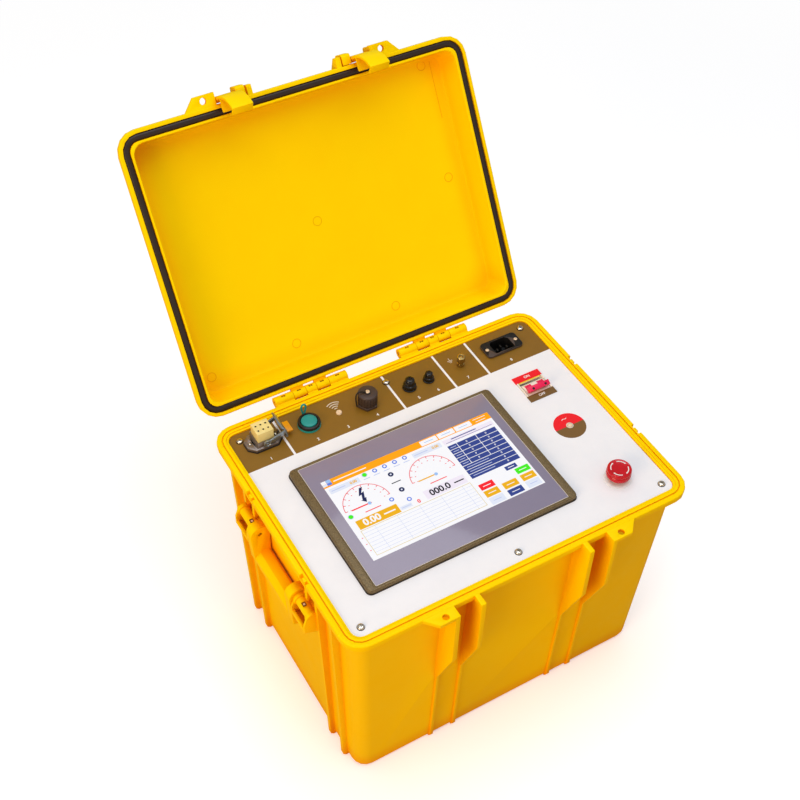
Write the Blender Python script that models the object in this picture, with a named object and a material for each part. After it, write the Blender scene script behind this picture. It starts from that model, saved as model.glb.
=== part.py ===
"""High-voltage withstand tester built into an open moulded carrying case.

Metres, +Z up. X runs along the front of the case to the right, Y runs from front to back.
The origin is the middle of the case's footprint, on the surface that the case stands on.
The lid is shown open, and its pieces are built closed and then turned about the hinge.
"""

import math

import bmesh
import bpy
from mathutils import Matrix, Vector

# General
GAP = 0.0003            # clearance between neighbouring pieces
OVERLAP = 0.0015        # how far joined mouldings run into each other
EDGE = 0.0008           # small bevel on moulded edges
CORNER_STEPS = 4
ROUND_SIDES = 16
SMALL_SIDES = 10
SMOOTH_ANGLE = math.radians(30.0)

# Case base
CASE_WIDTH = 0.445
CASE_DEPTH = 0.343
RIM_HEIGHT = 0.307
RIM_CORNER = 0.025
FLANGE_HEIGHT = 0.009
WALL_INSET_TOP = 0.012
WALL_INSET_BOTTOM = 0.021
WALL_CORNER = 0.018
WALL = 0.004
FLOOR = 0.004
FOOT_ROUND = 0.008
GROOVE_INSET = 0.006
GROOVE_WIDTH = 0.0015
GROOVE_DEPTH = 0.0015
RIDGE_WIDTH = 0.0035
INNER_STEP = 0.001
RIM_WIDTH = 0.014
LEDGE_DROP = 0.006      # from the rim down to the face that the panel lies on
LEDGE_WIDTH = 0.019
LEDGE_THICK = 0.008
LEDGE_RELIEF = 0.001

# Ribs on the side walls
SIDE_RIB_SPACING_Y = (0.088, 0.120)
SIDE_RIB_WIDTH = 0.006
SIDE_RIB_PROUD_TOP = 0.0095
SIDE_RIB_PROUD_BOTTOM = 0.006
SIDE_RIB_FOOT = 0.0006

# Latch posts and padlock ears on the front wall
POST_MIDDLE_X = 0.086
POST_OPENING = 0.026
POST_FIN_WIDTH = 0.006
POST_FIN_PROUD = 0.0145
POST_FIN_DROP = 0.083
POST_FIN_END_DROP = 0.159
POST_RIB_WIDTH = 0.004
POST_RIB_PROUD = 0.0035
EAR_REACH = 0.0145
EAR_THICK = 0.005
EAR_DROP = 0.0004
EAR_TIP_X = 0.124
EAR_ROOT_X = 0.137
EAR_HOLE_X = 0.1135
EAR_HOLE_OUT = 0.0078
EAR_HOLE_RADIUS = 0.004

# Hinges
HINGE_MIDDLE_X = 0.0856
HINGE_BEHIND = 0.0078
HINGE_DROP = 0.0007
KNUCKLE_RADIUS = 0.006
KNUCKLE_LENGTHS = (0.025, 0.017, 0.014, 0.017, 0.025)
KNUCKLE_GAP = 0.0005
KNUCKLE_SLOT = (0.005, 0.0026, 0.0014)
HINGE_PIN_RADIUS = 0.0022
HINGE_PIN_SHORT = 0.001

# Handles
HANDLE_DROP = 0.0447    # pivot below the rim
ARM_OUTER_Y = 0.054
ARM_THICK = 0.012
ARM_RADIUS = 0.012
GRIP_OUT = 0.0085       # grip's outer face beyond the pivot
GRIP_IN = 0.0120        # grip's inner face inside the pivot
GRIP_TOP_DROP = 0.032
GRIP_HEIGHT = 0.018
GRIP_CHAMFER = 0.0065
GRIP_BEVEL = 0.003
BARREL_RADIUS = 0.008
BARREL_CORE = 0.0066
BARREL_DISC = 0.0045
BARREL_LENGTH = 0.033
HANDLE_PIN_RADIUS = 0.0025
HANDLE_PIN_INSERT = 0.009
BRACKET_PLATE = 0.003
BRACKET_REACH = 0.0108
BRACKET_TOP_RISE = 0.026
BRACKET_MOUTH_DROP = 0.021
BRACKET_BOTTOM_DROP = 0.032
BRACKET_LIP_HEIGHT = 0.006
NOTCH_WIDTH = 0.015
NOTCH_OFFSET = 0.011
NOTCH_DEPTH = 0.004
NOTCH_FIN = 0.006
NOTCH_FIN_SHORT = 0.0012

# Lid
LID_OPEN_ANGLE = math.radians(121.0)
LID_RIM_GAP = 0.0004
LID_DEPTH = 0.040
LID_FLOOR = 0.004
LID_FLANGE = 0.009
LID_WALL_INSET = 0.012
LID_TOP_INSET = 0.017
LID_ROUND = 0.008
LID_INNER_ROUND = 0.006
GASKET_INSET = 0.0044
GASKET_CHANNEL = 0.0086
GASKET_DEPTH = 0.004
GASKET_RECESS = 0.0005
LID_RIB_Y = (0.088, 0.119)
LID_RIB_PROUD = 0.009
LID_RIB_HEIGHT = 0.033
LID_FIN_X = 0.057
LID_FIN_WIDTH = 0.006
LID_FIN_PROUD = 0.0115
LID_FIN_HEIGHT = 0.031

# Latches
LATCH_CLEARANCE = 0.0006
LATCH_WIDTH = POST_OPENING - 2 * LATCH_CLEARANCE
LATCH_PIVOT_OUT = 0.0048
LATCH_PIVOT_RISE = 0.0060
LATCH_HUB_RADIUS = 0.0038
LATCH_HUB_START = math.radians(-100.0)
LATCH_HUB_END = math.radians(175.0)
LATCH_PLATE = 0.0030
LATCH_ARCH_RADIUS = 0.046   # of the arched plate's outer face
LATCH_ARCH_OUT = 0.0096     # arch's crest, out from the rim's face
LATCH_CREST_DROP = 0.014    # arch's crest, below the lid's rim
LATCH_ARCH_START = math.radians(16.0)   # where the plate leaves the hub, above the crest
LATCH_ARCH_END = math.radians(46.0)
LATCH_LIP_THICK = 0.0026
LATCH_LIP_ANGLE = math.radians(44.0)
LATCH_LIP_END = 0.0012  # air between the lip's end and the base's wall
LATCH_HOOK_GAP = 0.0012  # air between the hook and the flange that it catches
LATCH_HOOK_THICK = 0.0026
LATCH_HOOK_REACH = 0.0090
LATCH_PIN_RADIUS = 0.002
BOSS_WIDTH = 0.011
BOSS_OUT = 0.0130       # bosses reach this far out from the rim's face
BOSS_RISE = 0.0200
BOSS_CORNER = 0.0035
BOSS_FOOT = 0.0012

# Front panel
PANEL_THICK = 0.003
PANEL_CLEARANCE = 0.0005
SCREW_INSET_X = 0.012
SCREW_INSET_Y = 0.0115
SCREW_SHANK = 0.0019
SCREW_LENGTH = 0.009
SCREW_HEAD = 0.004
SCREW_HEAD_HEIGHT = 0.0024
SCREW_HEAD_PROFILE = ((1.0, 0.4), (0.8, 0.85), (0.4, 1.0))  # shares of the head's radius and height
SCREW_HOLE = 0.0023

# Touch panel
HMI_LEFT_FIELD = 0.038  # panel left of the bezel
HMI_RIGHT_FIELD = 0.108
HMI_FRONT_FIELD = 0.0405
HMI_BACK_FIELD = 0.0835
HMI_RISE = 0.006
HMI_CORNER = 0.006
HMI_FRAME = (0.0105, 0.004)
HMI_GLASS_THICK = 0.002
HMI_GLASS_RECESS = 0.0005
HMI_GLASS_LEDGE = 0.002
HMI_BACK_DEPTH = 0.038
HMI_CUTOUT_CLEARANCE = 0.0005
CLAMP_SIZE = (0.012, 0.016, 0.014)
CLAMP_SHARE = 0.3       # place of each clamp along its side, from the middle

# Output connector
OUTPUT_FROM_BACK = 0.024
OUTPUT_FLANGE = (0.044, 0.027)
OUTPUT_CHAMFER = 0.008
OUTPUT_FLANGE_HEIGHT = 0.004
OUTPUT_NECK = (0.0235, 0.0225)
OUTPUT_NECK_HEIGHT = 0.012
OUTPUT_INSERT = (0.0205, 0.0195)
OUTPUT_INSERT_HEIGHT = 0.025
OUTPUT_BACK_DEPTH = 0.020
OUTPUT_SCREW_SPACING = 0.033
OUTPUT_HOLE_PITCH = (0.0062, 0.0078)
OUTPUT_HOLE = 0.0011
LEVER_ARM_THICK = 0.0018
LEVER_HUB = 0.0044
LEVER_STUD = 0.0022
LEVER_RADIUS = 0.0246
LEVER_BAR = 0.0022
LEVER_ARC_START = math.radians(-6.0)
LEVER_ARC_END = math.radians(42.0)
LEVER_ARM_HALF = 0.0028
LEVER_HUB_START = math.radians(50.0)
LEVER_HUB_END = math.radians(310.0)
TAB_SIZE = (0.0085, 0.016, 0.0024)
TAB_DROP = 0.002

# Data sockets and antenna port
USB_FROM_BACK = 0.027
USB_RING_RADIUS = 0.0140
USB_RING_HEIGHT = 0.0020
USB_COLLAR_RADIUS = 0.0128
USB_COLLAR_INNER = 0.0103
USB_COLLAR_HEIGHT = 0.0045
USB_CAP_RADIUS = 0.0098
USB_CAP_HEIGHT = 0.0055
USB_CAP_PLUG = (0.0055, 0.0030)
USB_BODY_RADIUS = 0.0110
USB_BODY_DEPTH = 0.022
STRAP_WIDTH = 0.0022
STRAP_THICK = 0.0012
STRAP_LOOP = (0.0070, 0.0150)
ANTENNA_FROM_BACK = 0.0278
ANTENNA_RADIUS = 0.0028
ANTENNA_FLANGE = 0.0036
ANTENNA_RISE = 0.0018
ANTENNA_DEPTH = 0.012
LAN_FROM_BACK = 0.0315
LAN_HEX_RADIUS = 0.0135
LAN_HEX_HEIGHT = 0.0040
LAN_NECK_RADIUS = 0.0085
LAN_NECK_HEIGHT = 0.0150
LAN_CAP_RADIUS = 0.0120
LAN_CAP_HEIGHT = 0.0160
LAN_CAP_WALL = 0.0030
LAN_CAP_RIBS = 12
LAN_CAP_RIB_DEPTH = 0.0006
LAN_SCREW_RADIUS = 0.0026
LAN_STRAP_WIDTH = 0.0044
LAN_STRAP_THICK = 0.0010
LAN_STRAP_RISE = 0.004

# Measuring terminals and ground post
TERMINAL_FROM_BACK = 0.0327
TERMINAL_H = (0.0089, 0.0155)   # radius and height
TERMINAL_L = (0.0073, 0.0130)
TERMINAL_WASHER = 0.0015
TERMINAL_CORE_SHARE = 0.42
KNOB_GRIP = 0.35        # knurled grip's top, as a share of the knob's height
KNOB_SHOULDER = (0.80, 0.42)    # shares of the knob's radius and height
KNOB_CROWN = (0.70, 0.88)
KNOB_TOP = 0.52
TERMINAL_STEM = 0.0025
TERMINAL_STEM_DEPTH = 0.018
GROUND_FROM_BACK = 0.030
GROUND_STEM = 0.0022
GROUND_FOOT_RADIUS = 0.0046
GROUND_FOOT_HEIGHT = 0.0030
GROUND_NUT_RADIUS = 0.0053
GROUND_NUT_BASE = 0.0070
GROUND_NUT_HEIGHT = 0.0080

# Power inlet
INLET_FROM_BACK = 0.027
INLET_FLANGE = (0.0513, 0.0255)
INLET_CORNER = 0.005
INLET_RISE = 0.0030
INLET_OPENING = (0.0276, 0.0205)
INLET_CHAMFER = 0.004
INLET_SOCKET_DEPTH = 0.018
INLET_WALL = 0.0015
INLET_SCREW_SPACING = 0.042
INLET_PIN = (0.0020, 0.0040)
INLET_PIN_LENGTH = 0.014
INLET_PIN_SPREAD = (0.0070, 0.0020)

# Circuit breaker
BREAKER_FROM_BACK = 0.1036
BREAKER_FROM_SIDE = 0.0522
BREAKER_WINDOW = (0.0330, 0.0260)
BREAKER_WALL = 0.0016
BREAKER_BODY_DEPTH = 0.068
BREAKER_BACK = (0.0360, 0.0800)
BREAKER_FACE_RISE = 0.0012
TOGGLE_PIVOT_DROP = 0.0080
TOGGLE_HUB = 0.0060
TOGGLE_LENGTH = 0.0195
TOGGLE_STALK = (0.0095, 0.0050)
TOGGLE_BAR = (0.0290, 0.0064, 0.0070)
TOGGLE_TILT = math.radians(28.0)

# Indicator lamp
LAMP_FROM_BACK = 0.178
LAMP_FROM_SIDE = 0.052
LAMP_RADIUS = 0.0030
LAMP_RISE = 0.0010
LAMP_DEPTH = 0.014
LAMP_LENS = 0.7         # lens's flat top, as a share of its radius

# Emergency stop
STOP_FROM_FRONT = 0.043
STOP_FROM_SIDE = 0.051
STOP_COLLAR = 0.0165
STOP_COLLAR_HEIGHT = 0.0008
STOP_NECK = 0.0080
STOP_TRAVEL = 0.0040
STOP_HEAD = 0.0145
STOP_HEAD_FOOT = 0.0075
STOP_HEAD_HEIGHT = 0.0105
STOP_HEAD_DOME = 0.0012
STOP_HEAD_PROFILE = ((1.0, 0.45), (0.94, 0.60), (0.97, 0.85), (0.90, 1.0))   # shares of radius and height
STOP_HEAD_DISH = ((0.45, 0.5), (0.10, 1.0))  # shares of the radius and of the dish's depth
STOP_STEM = 0.0050
STOP_STEM_GUIDE = 0.0105
STOP_STEM_DEPTH = 0.016
STOP_BLOCK = (0.030, 0.036, 0.034)

# Row of fittings along the panel's back: margins at its ends, and the air between neighbours
ROW_MARGIN_LEFT = 0.014
ROW_MARGIN_RIGHT = 0.02495
ROW_SPACES = (0.0094, 0.0218, 0.0167, 0.0351, 0.0109, 0.0351, 0.03095)

# Inside
CHASSIS_MARGIN = 0.0275
CHASSIS_THICK = 0.002
CHASSIS_EDGE = 0.012    # from the plate's edge to what stands on it
CHASSIS_FOOT_RADIUS = 0.008
CHASSIS_FOOT_HEIGHT = 0.006
CHASSIS_FOOT_INSET = 0.020
TOROID_OUTER = 0.054
TOROID_INNER = 0.021
TOROID_HEIGHT = 0.070
TOROID_BEVEL = 0.006
REGULATOR_PLATE = 0.004
REGULATOR_SHAFT = 0.006
REGULATOR_ARM = (0.046, 0.014, 0.006)
CORE_SIZE = (0.108, 0.040, 0.100)
CORE_LIMB = 0.018
COIL_THICK = 0.010
COIL_CLEARANCE = 0.001
BOARD_SIZE = (0.110, 0.072, 0.0016)
STANDOFF_HEIGHT = 0.012
STANDOFF_RADIUS = 0.003
STANDOFF_INSET = 0.006
RELAY_SIZE = (0.018, 0.016, 0.016)
RELAY_PITCH = 0.023
RELAY_COUNT = 4
SUPPLY_SIZE = (0.098, 0.046, 0.040)
DIVIDER_RADIUS = 0.0085
DIVIDER_FOOT = 0.0115
DIVIDER_HEIGHT = 0.110

# Levels and places worked out from the sizes above
RIM_X = CASE_WIDTH / 2
RIM_Y = CASE_DEPTH / 2
FLANGE_BOTTOM = RIM_HEIGHT - FLANGE_HEIGHT
LEDGE_Z = RIM_HEIGHT - LEDGE_DROP
PANEL_BOTTOM = LEDGE_Z + GAP
PANEL_TOP = PANEL_BOTTOM + PANEL_THICK
PANEL_X = RIM_X - RIM_WIDTH - PANEL_CLEARANCE
PANEL_Y = RIM_Y - RIM_WIDTH - PANEL_CLEARANCE
PANEL_CORNER = RIM_CORNER - RIM_WIDTH - PANEL_CLEARANCE
LID_RIM = RIM_HEIGHT + LID_RIM_GAP
HINGE_AXIS = Vector((0.0, RIM_Y + HINGE_BEHIND, RIM_HEIGHT - HINGE_DROP))
LATCH_AXIS_Y = -RIM_Y - LATCH_PIVOT_OUT
LATCH_AXIS_Z = LID_RIM + LATCH_PIVOT_RISE
POST_INNER_X = POST_MIDDLE_X - POST_OPENING / 2 - POST_FIN_WIDTH
POST_OUTER_X = POST_MIDDLE_X + POST_OPENING / 2
HANDLE_X = RIM_X
HANDLE_Z = RIM_HEIGHT - HANDLE_DROP
CHASSIS_BOTTOM = FLOOR + GAP + CHASSIS_FOOT_HEIGHT
CHASSIS_TOP = CHASSIS_BOTTOM + CHASSIS_THICK
CHASSIS_X = RIM_X - WALL_INSET_BOTTOM - WALL - CHASSIS_MARGIN
CHASSIS_Y = RIM_Y - WALL_INSET_BOTTOM - WALL - CHASSIS_MARGIN
HMI_SIZE = (2 * PANEL_X - HMI_LEFT_FIELD - HMI_RIGHT_FIELD, 2 * PANEL_Y - HMI_FRONT_FIELD - HMI_BACK_FIELD)
HMI_CENTRE = ((HMI_LEFT_FIELD - HMI_RIGHT_FIELD) / 2, (HMI_FRONT_FIELD - HMI_BACK_FIELD) / 2)
HMI_GLASS = (HMI_SIZE[0] - 2 * HMI_FRAME[0], HMI_SIZE[1] - 2 * HMI_FRAME[1])


def row_places() -> list:
    """Middles of the fittings along the panel's back, from left to right."""
    lever_reach = LEVER_RADIUS + LEVER_BAR + GAP + TAB_SIZE[0]
    reaches = [
        (OUTPUT_FLANGE[0] / 2, lever_reach),
        (USB_RING_RADIUS, USB_RING_RADIUS),
        (ANTENNA_FLANGE, ANTENNA_FLANGE),
        (LAN_CAP_RADIUS + LAN_STRAP_RISE + LAN_STRAP_THICK / 2, LAN_HEX_RADIUS),
        (TERMINAL_H[0], TERMINAL_H[0]),
        (TERMINAL_L[0], TERMINAL_L[0]),
        (GROUND_NUT_RADIUS, GROUND_NUT_RADIUS),
        (INLET_FLANGE[0] / 2, INLET_FLANGE[0] / 2),
    ]
    taken = ROW_MARGIN_LEFT + ROW_MARGIN_RIGHT + sum(left + right for left, right in reaches)
    stretch = (2 * PANEL_X - taken) / sum(ROW_SPACES)
    places = []
    edge = -PANEL_X + ROW_MARGIN_LEFT
    for (left, right), space in zip(reaches, (*ROW_SPACES, 0.0)):
        places.append(edge + left)
        edge += left + right + space * stretch
    return places


OUTPUT_X, USB_X, ANTENNA_X, LAN_X, H_X, L_X, GROUND_X, INLET_X = row_places()
OUTPUT_CENTRE = (OUTPUT_X, PANEL_Y - OUTPUT_FROM_BACK)
USB_CENTRE = (USB_X, PANEL_Y - USB_FROM_BACK)
ANTENNA_CENTRE = (ANTENNA_X, PANEL_Y - ANTENNA_FROM_BACK)
LAN_CENTRE = (LAN_X, PANEL_Y - LAN_FROM_BACK)
TERMINALS = {
    "terminal_h": ((H_X, PANEL_Y - TERMINAL_FROM_BACK), *TERMINAL_H),
    "terminal_l": ((L_X, PANEL_Y - TERMINAL_FROM_BACK), *TERMINAL_L),
}
GROUND_CENTRE = (GROUND_X, PANEL_Y - GROUND_FROM_BACK)
INLET_CENTRE = (INLET_X, PANEL_Y - INLET_FROM_BACK)
BREAKER_CENTRE = (PANEL_X - BREAKER_FROM_SIDE, PANEL_Y - BREAKER_FROM_BACK)
LAMP_CENTRE = (PANEL_X - LAMP_FROM_SIDE, PANEL_Y - LAMP_FROM_BACK)
STOP_CENTRE = (PANEL_X - STOP_FROM_SIDE, STOP_FROM_FRONT - PANEL_Y)
TOROID_CENTRE = (CHASSIS_EDGE + TOROID_OUTER - CHASSIS_X, CHASSIS_EDGE + TOROID_OUTER - CHASSIS_Y)
CORE_CENTRE = (CHASSIS_X - CHASSIS_EDGE - CORE_SIZE[0] / 2,
               CHASSIS_Y - CHASSIS_EDGE - COIL_THICK - CORE_SIZE[1] / 2)
BOARD_CENTRE = (CHASSIS_X - CHASSIS_EDGE - BOARD_SIZE[0] / 2, CHASSIS_EDGE + BOARD_SIZE[1] / 2 - CHASSIS_Y)
SUPPLY_CENTRE = (CHASSIS_EDGE + SUPPLY_SIZE[0] / 2 - CHASSIS_X,
                 CHASSIS_Y - CHASSIS_EDGE - SUPPLY_SIZE[1] / 2)
DIVIDER_CENTRE = ((SUPPLY_CENTRE[0] + SUPPLY_SIZE[0] / 2 + CORE_CENTRE[0] - CORE_SIZE[0] / 2) / 2,
                  SUPPLY_CENTRE[1])

FINISHES = {
    "yellow_plastic": ("FFCB05", 0.42, 0.0),
    "gasket_rubber": ("3A302A", 0.70, 0.0),
    "steel": ("B9B6B0", 0.32, 1.0),
    "white_panel": ("F0F0F2", 0.45, 0.0),
    "dark_bezel": ("6B5A35", 0.50, 0.3),
    "grey_glass": ("8C859B", 0.08, 0.0),
    "black_plastic": ("26221F", 0.45, 0.0),
    "zinc": ("8B8078", 0.45, 0.8),
    "lever_steel": ("93A0AB", 0.35, 0.9),
    "cream_plastic": ("EAD68A", 0.45, 0.0),
    "amber_plastic": ("E59A13", 0.40, 0.0),
    "teal_rubber": ("1F9089", 0.55, 0.0),
    "brass": ("B08D3C", 0.35, 1.0),
    "inlet_plastic": ("4A403A", 0.45, 0.0),
    "breaker_white": ("F2EBDD", 0.50, 0.0),
    "breaker_pink": ("F0255A", 0.40, 0.0),
    "lamp_beige": ("E6C9A8", 0.35, 0.0),
    "stop_red": ("D0102A", 0.25, 0.1),
    "lamination": ("5A5550", 0.60, 0.6),
    "copper": ("B5653A", 0.40, 0.8),
    "epoxy": ("7A2E1E", 0.45, 0.0),
    "board_green": ("1E5B3A", 0.50, 0.0),
    "sheet_steel": ("A8A9A8", 0.40, 0.9),
    "resistor_blue": ("3A5A8C", 0.45, 0.0),
}


def clear_scene() -> None:
    """Remove every object that the scene holds."""
    for item in list(bpy.data.objects):
        bpy.data.objects.remove(item, do_unlink=True)


def linear(code: str) -> tuple:
    """Turn an sRGB hex code into a linear colour."""
    values = [int(code[start:start + 2], 16) / 255 for start in (0, 2, 4)]
    curve = [v / 12.92 if v <= 0.04045 else ((v + 0.055) / 1.055) ** 2.4 for v in values]
    return (*curve, 1.0)


def dress(obj, finish: str) -> None:
    """Give an object its own Principled material and smooth shading."""
    code, roughness, metallic = FINISHES[finish]
    material = bpy.data.materials.new(f"{obj.name}_{finish}")
    material.use_nodes = True
    shader = material.node_tree.nodes["Principled BSDF"]
    shader.inputs["Base Color"].default_value = linear(code)
    shader.inputs["Roughness"].default_value = roughness
    shader.inputs["Metallic"].default_value = metallic
    obj.data.materials.clear()
    obj.data.materials.append(material)
    obj.data.shade_smooth()
    obj.data.set_sharp_from_angle(angle=SMOOTH_ANGLE)


def solid_from(name: str, bm):
    """Make an object of a bmesh, with its faces pointing out."""
    bmesh.ops.recalc_face_normals(bm, faces=bm.faces)
    mesh = bpy.data.meshes.new(name)
    bm.to_mesh(mesh)
    bm.free()
    obj = bpy.data.objects.new(name, mesh)
    bpy.context.scene.collection.objects.link(obj)
    return obj


def loft(name: str, rings: list, closed: bool = False):
    """Skin a row of rings, with an end cap each, or joined last to first."""
    bm = bmesh.new()
    layers = [[bm.verts.new(point) for point in ring] for ring in rings]
    pairs = list(zip(layers, layers[1:]))
    if closed:
        pairs.append((layers[-1], layers[0]))
    for low, high in pairs:
        for index in range(len(low)):
            after = (index + 1) % len(low)
            bm.faces.new((low[index], low[after], high[after], high[index]))
    if not closed:
        bm.faces.new(list(reversed(layers[0])))
        bm.faces.new(layers[-1])
    return solid_from(name, bm)


def rounded(width: float, depth: float, radius: float, steps: int = CORNER_STEPS) -> list:
    """Points of a rounded rectangle about the origin, anticlockwise."""
    points = []
    for quarter, (sx, sy) in enumerate(((1, 1), (-1, 1), (-1, -1), (1, -1))):
        middle_x = sx * (width / 2 - radius)
        middle_y = sy * (depth / 2 - radius)
        for step in range(steps + 1):
            angle = (quarter + step / steps) * math.pi / 2
            points.append((middle_x + radius * math.cos(angle), middle_y + radius * math.sin(angle)))
    return points


def case_ring(inset: float, height: float, radius: float) -> list:
    """A ring of the case outline, set in from the rim's outer edge."""
    outline = rounded(CASE_WIDTH - 2 * inset, CASE_DEPTH - 2 * inset, radius)
    return [(x, y, height) for x, y in outline]


def placed(u: float, v: float, w: float, axis: str) -> tuple:
    """Point with plane coordinates u and v, at w along the named axis."""
    if axis == "X":
        return (w, u, v)
    if axis == "Y":
        return (u, w, v)
    return (u, v, w)


def prism(name: str, outline: list, axis: str, low: float, high: float):
    """Extrude a flat outline along an axis, between two levels."""
    rings = [[placed(u, v, level, axis) for u, v in outline] for level in (low, high)]
    return loft(name, rings)


def box(name: str, x: tuple, y: tuple, z: tuple):
    """A block between two levels on each axis."""
    outline = [(x[0], y[0]), (x[1], y[0]), (x[1], y[1]), (x[0], y[1])]
    return prism(name, outline, "Z", z[0], z[1])


def block(name: str, centre: tuple, size: tuple, low: float, high: float):
    """A block of a plan size about a centre, between two heights."""
    half_x = size[0] / 2
    half_y = size[1] / 2
    span_x = (centre[0] - half_x, centre[0] + half_x)
    span_y = (centre[1] - half_y, centre[1] + half_y)
    return box(name, span_x, span_y, (low, high))


def turned(name: str, profile: list, centre: tuple, axis: str = "Z", sides: int = ROUND_SIDES,
           closed: bool = False):
    """Turn a profile of (radius, level) pairs about an axis through a plane point."""
    rings = []
    for radius, level in profile:
        ring = []
        for side in range(sides):
            angle = 2 * math.pi * side / sides
            u = centre[0] + radius * math.cos(angle)
            v = centre[1] + radius * math.sin(angle)
            ring.append(placed(u, v, level, axis))
        rings.append(ring)
    return loft(name, rings, closed)


def rod(name: str, centre: tuple, radius: float, low: float, high: float, axis: str = "Z",
        sides: int = SMALL_SIDES):
    """A plain cylinder between two levels of an axis."""
    return turned(name, [(radius, low), (radius, high)], centre, axis, sides)


def arc(centre: tuple, radius: float, start: float, end: float, steps: int) -> list:
    """Points along an arc in a plane."""
    points = []
    for step in range(steps + 1):
        angle = start + (end - start) * step / steps
        points.append((centre[0] + radius * math.cos(angle), centre[1] + radius * math.sin(angle)))
    return points


def combine(target, tools: list, operation: str):
    """Apply a Boolean of each tool to the target, and remove the tools."""
    for tool in tools:
        modifier = target.modifiers.new(operation.lower(), "BOOLEAN")
        modifier.operation = operation
        modifier.solver = "EXACT"
        modifier.object = tool
        graph = bpy.context.evaluated_depsgraph_get()
        mesh = bpy.data.meshes.new_from_object(target.evaluated_get(graph))
        target.modifiers.clear()
        old = target.data
        target.data = mesh
        bpy.data.meshes.remove(old)
        bpy.data.objects.remove(tool, do_unlink=True)
    return target


def join(target, tools: list):
    """Unite solids into the target."""
    return combine(target, tools, "UNION")


def cut(target, tools: list):
    """Take solids out of the target."""
    return combine(target, tools, "DIFFERENCE")


def set_origin(obj, origin: Vector) -> None:
    """Move an object's origin, with its shape where it is."""
    obj.data.transform(Matrix.Translation(-origin))
    obj.location = origin


def empty_at(name: str, place: Vector, angle: float = 0.0, parent=None):
    """An empty on a joint's axis, turned about X."""
    holder = bpy.data.objects.new(name, None)
    bpy.context.scene.collection.objects.link(holder)
    holder.location = place
    holder.rotation_euler = (angle, 0.0, 0.0)
    holder.parent = parent
    return holder


def hang(obj, holder, place: Vector) -> None:
    """Hang an object, built closed in place, on a holder that was made at that place."""
    obj.data.transform(Matrix.Translation(-place))
    obj.parent = holder


def wall_inset(height: float) -> float:
    """How far the base's outer wall stands in from the rim's edge at a height."""
    share = height / FLANGE_BOTTOM
    return WALL_INSET_BOTTOM + (WALL_INSET_TOP - WALL_INSET_BOTTOM) * share


def lid_inset(rise: float) -> float:
    """How far the lid's outer wall stands in at a height above its rim plane."""
    share = (rise - LID_FLANGE) / (LID_DEPTH - LID_FLANGE)
    return LID_WALL_INSET + (LID_TOP_INSET - LID_WALL_INSET) * share


def base_tub():
    """The tub of the base: outside, rim with its groove and ridge, ledge and inside."""
    rings = []
    steps = 3
    for step in range(steps + 1):
        angle = math.pi / 2 * step / steps
        inset = WALL_INSET_BOTTOM + FOOT_ROUND * (1 - math.sin(angle))
        rings.append(case_ring(inset, FOOT_ROUND * (1 - math.cos(angle)), WALL_CORNER))
    ridge_start = GROOVE_INSET + GROOVE_WIDTH
    ridge_end = ridge_start + RIDGE_WIDTH
    recess_corner = RIM_CORNER - RIM_WIDTH
    inner_corner = WALL_CORNER - WALL
    ledge_inset = RIM_WIDTH + LEDGE_WIDTH
    ledge_bottom = LEDGE_Z - LEDGE_THICK
    bottom_inset = WALL_INSET_BOTTOM + WALL
    rings += [
        case_ring(WALL_INSET_TOP, FLANGE_BOTTOM, WALL_CORNER),
        case_ring(EDGE, FLANGE_BOTTOM, RIM_CORNER - EDGE),
        case_ring(0.0, FLANGE_BOTTOM + EDGE, RIM_CORNER),
        case_ring(0.0, RIM_HEIGHT - EDGE, RIM_CORNER),
        case_ring(EDGE, RIM_HEIGHT, RIM_CORNER - EDGE),
        case_ring(GROOVE_INSET, RIM_HEIGHT, RIM_CORNER - GROOVE_INSET),
        case_ring(GROOVE_INSET, RIM_HEIGHT - GROOVE_DEPTH, RIM_CORNER - GROOVE_INSET),
        case_ring(ridge_start, RIM_HEIGHT - GROOVE_DEPTH, RIM_CORNER - ridge_start),
        case_ring(ridge_start, RIM_HEIGHT, RIM_CORNER - ridge_start),
        case_ring(ridge_end, RIM_HEIGHT, RIM_CORNER - ridge_end),
        case_ring(ridge_end, RIM_HEIGHT - INNER_STEP, RIM_CORNER - ridge_end),
        case_ring(RIM_WIDTH, RIM_HEIGHT - INNER_STEP, recess_corner),
        case_ring(RIM_WIDTH, LEDGE_Z, recess_corner),
        case_ring(ledge_inset, LEDGE_Z, recess_corner),
        case_ring(ledge_inset, ledge_bottom, recess_corner),
        case_ring(wall_inset(ledge_bottom) + WALL, ledge_bottom, inner_corner),
        case_ring(bottom_inset, FLOOR + FOOT_ROUND, inner_corner),
        case_ring(bottom_inset + FOOT_ROUND, FLOOR, inner_corner),
    ]
    return loft("base_shell", rings)


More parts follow.
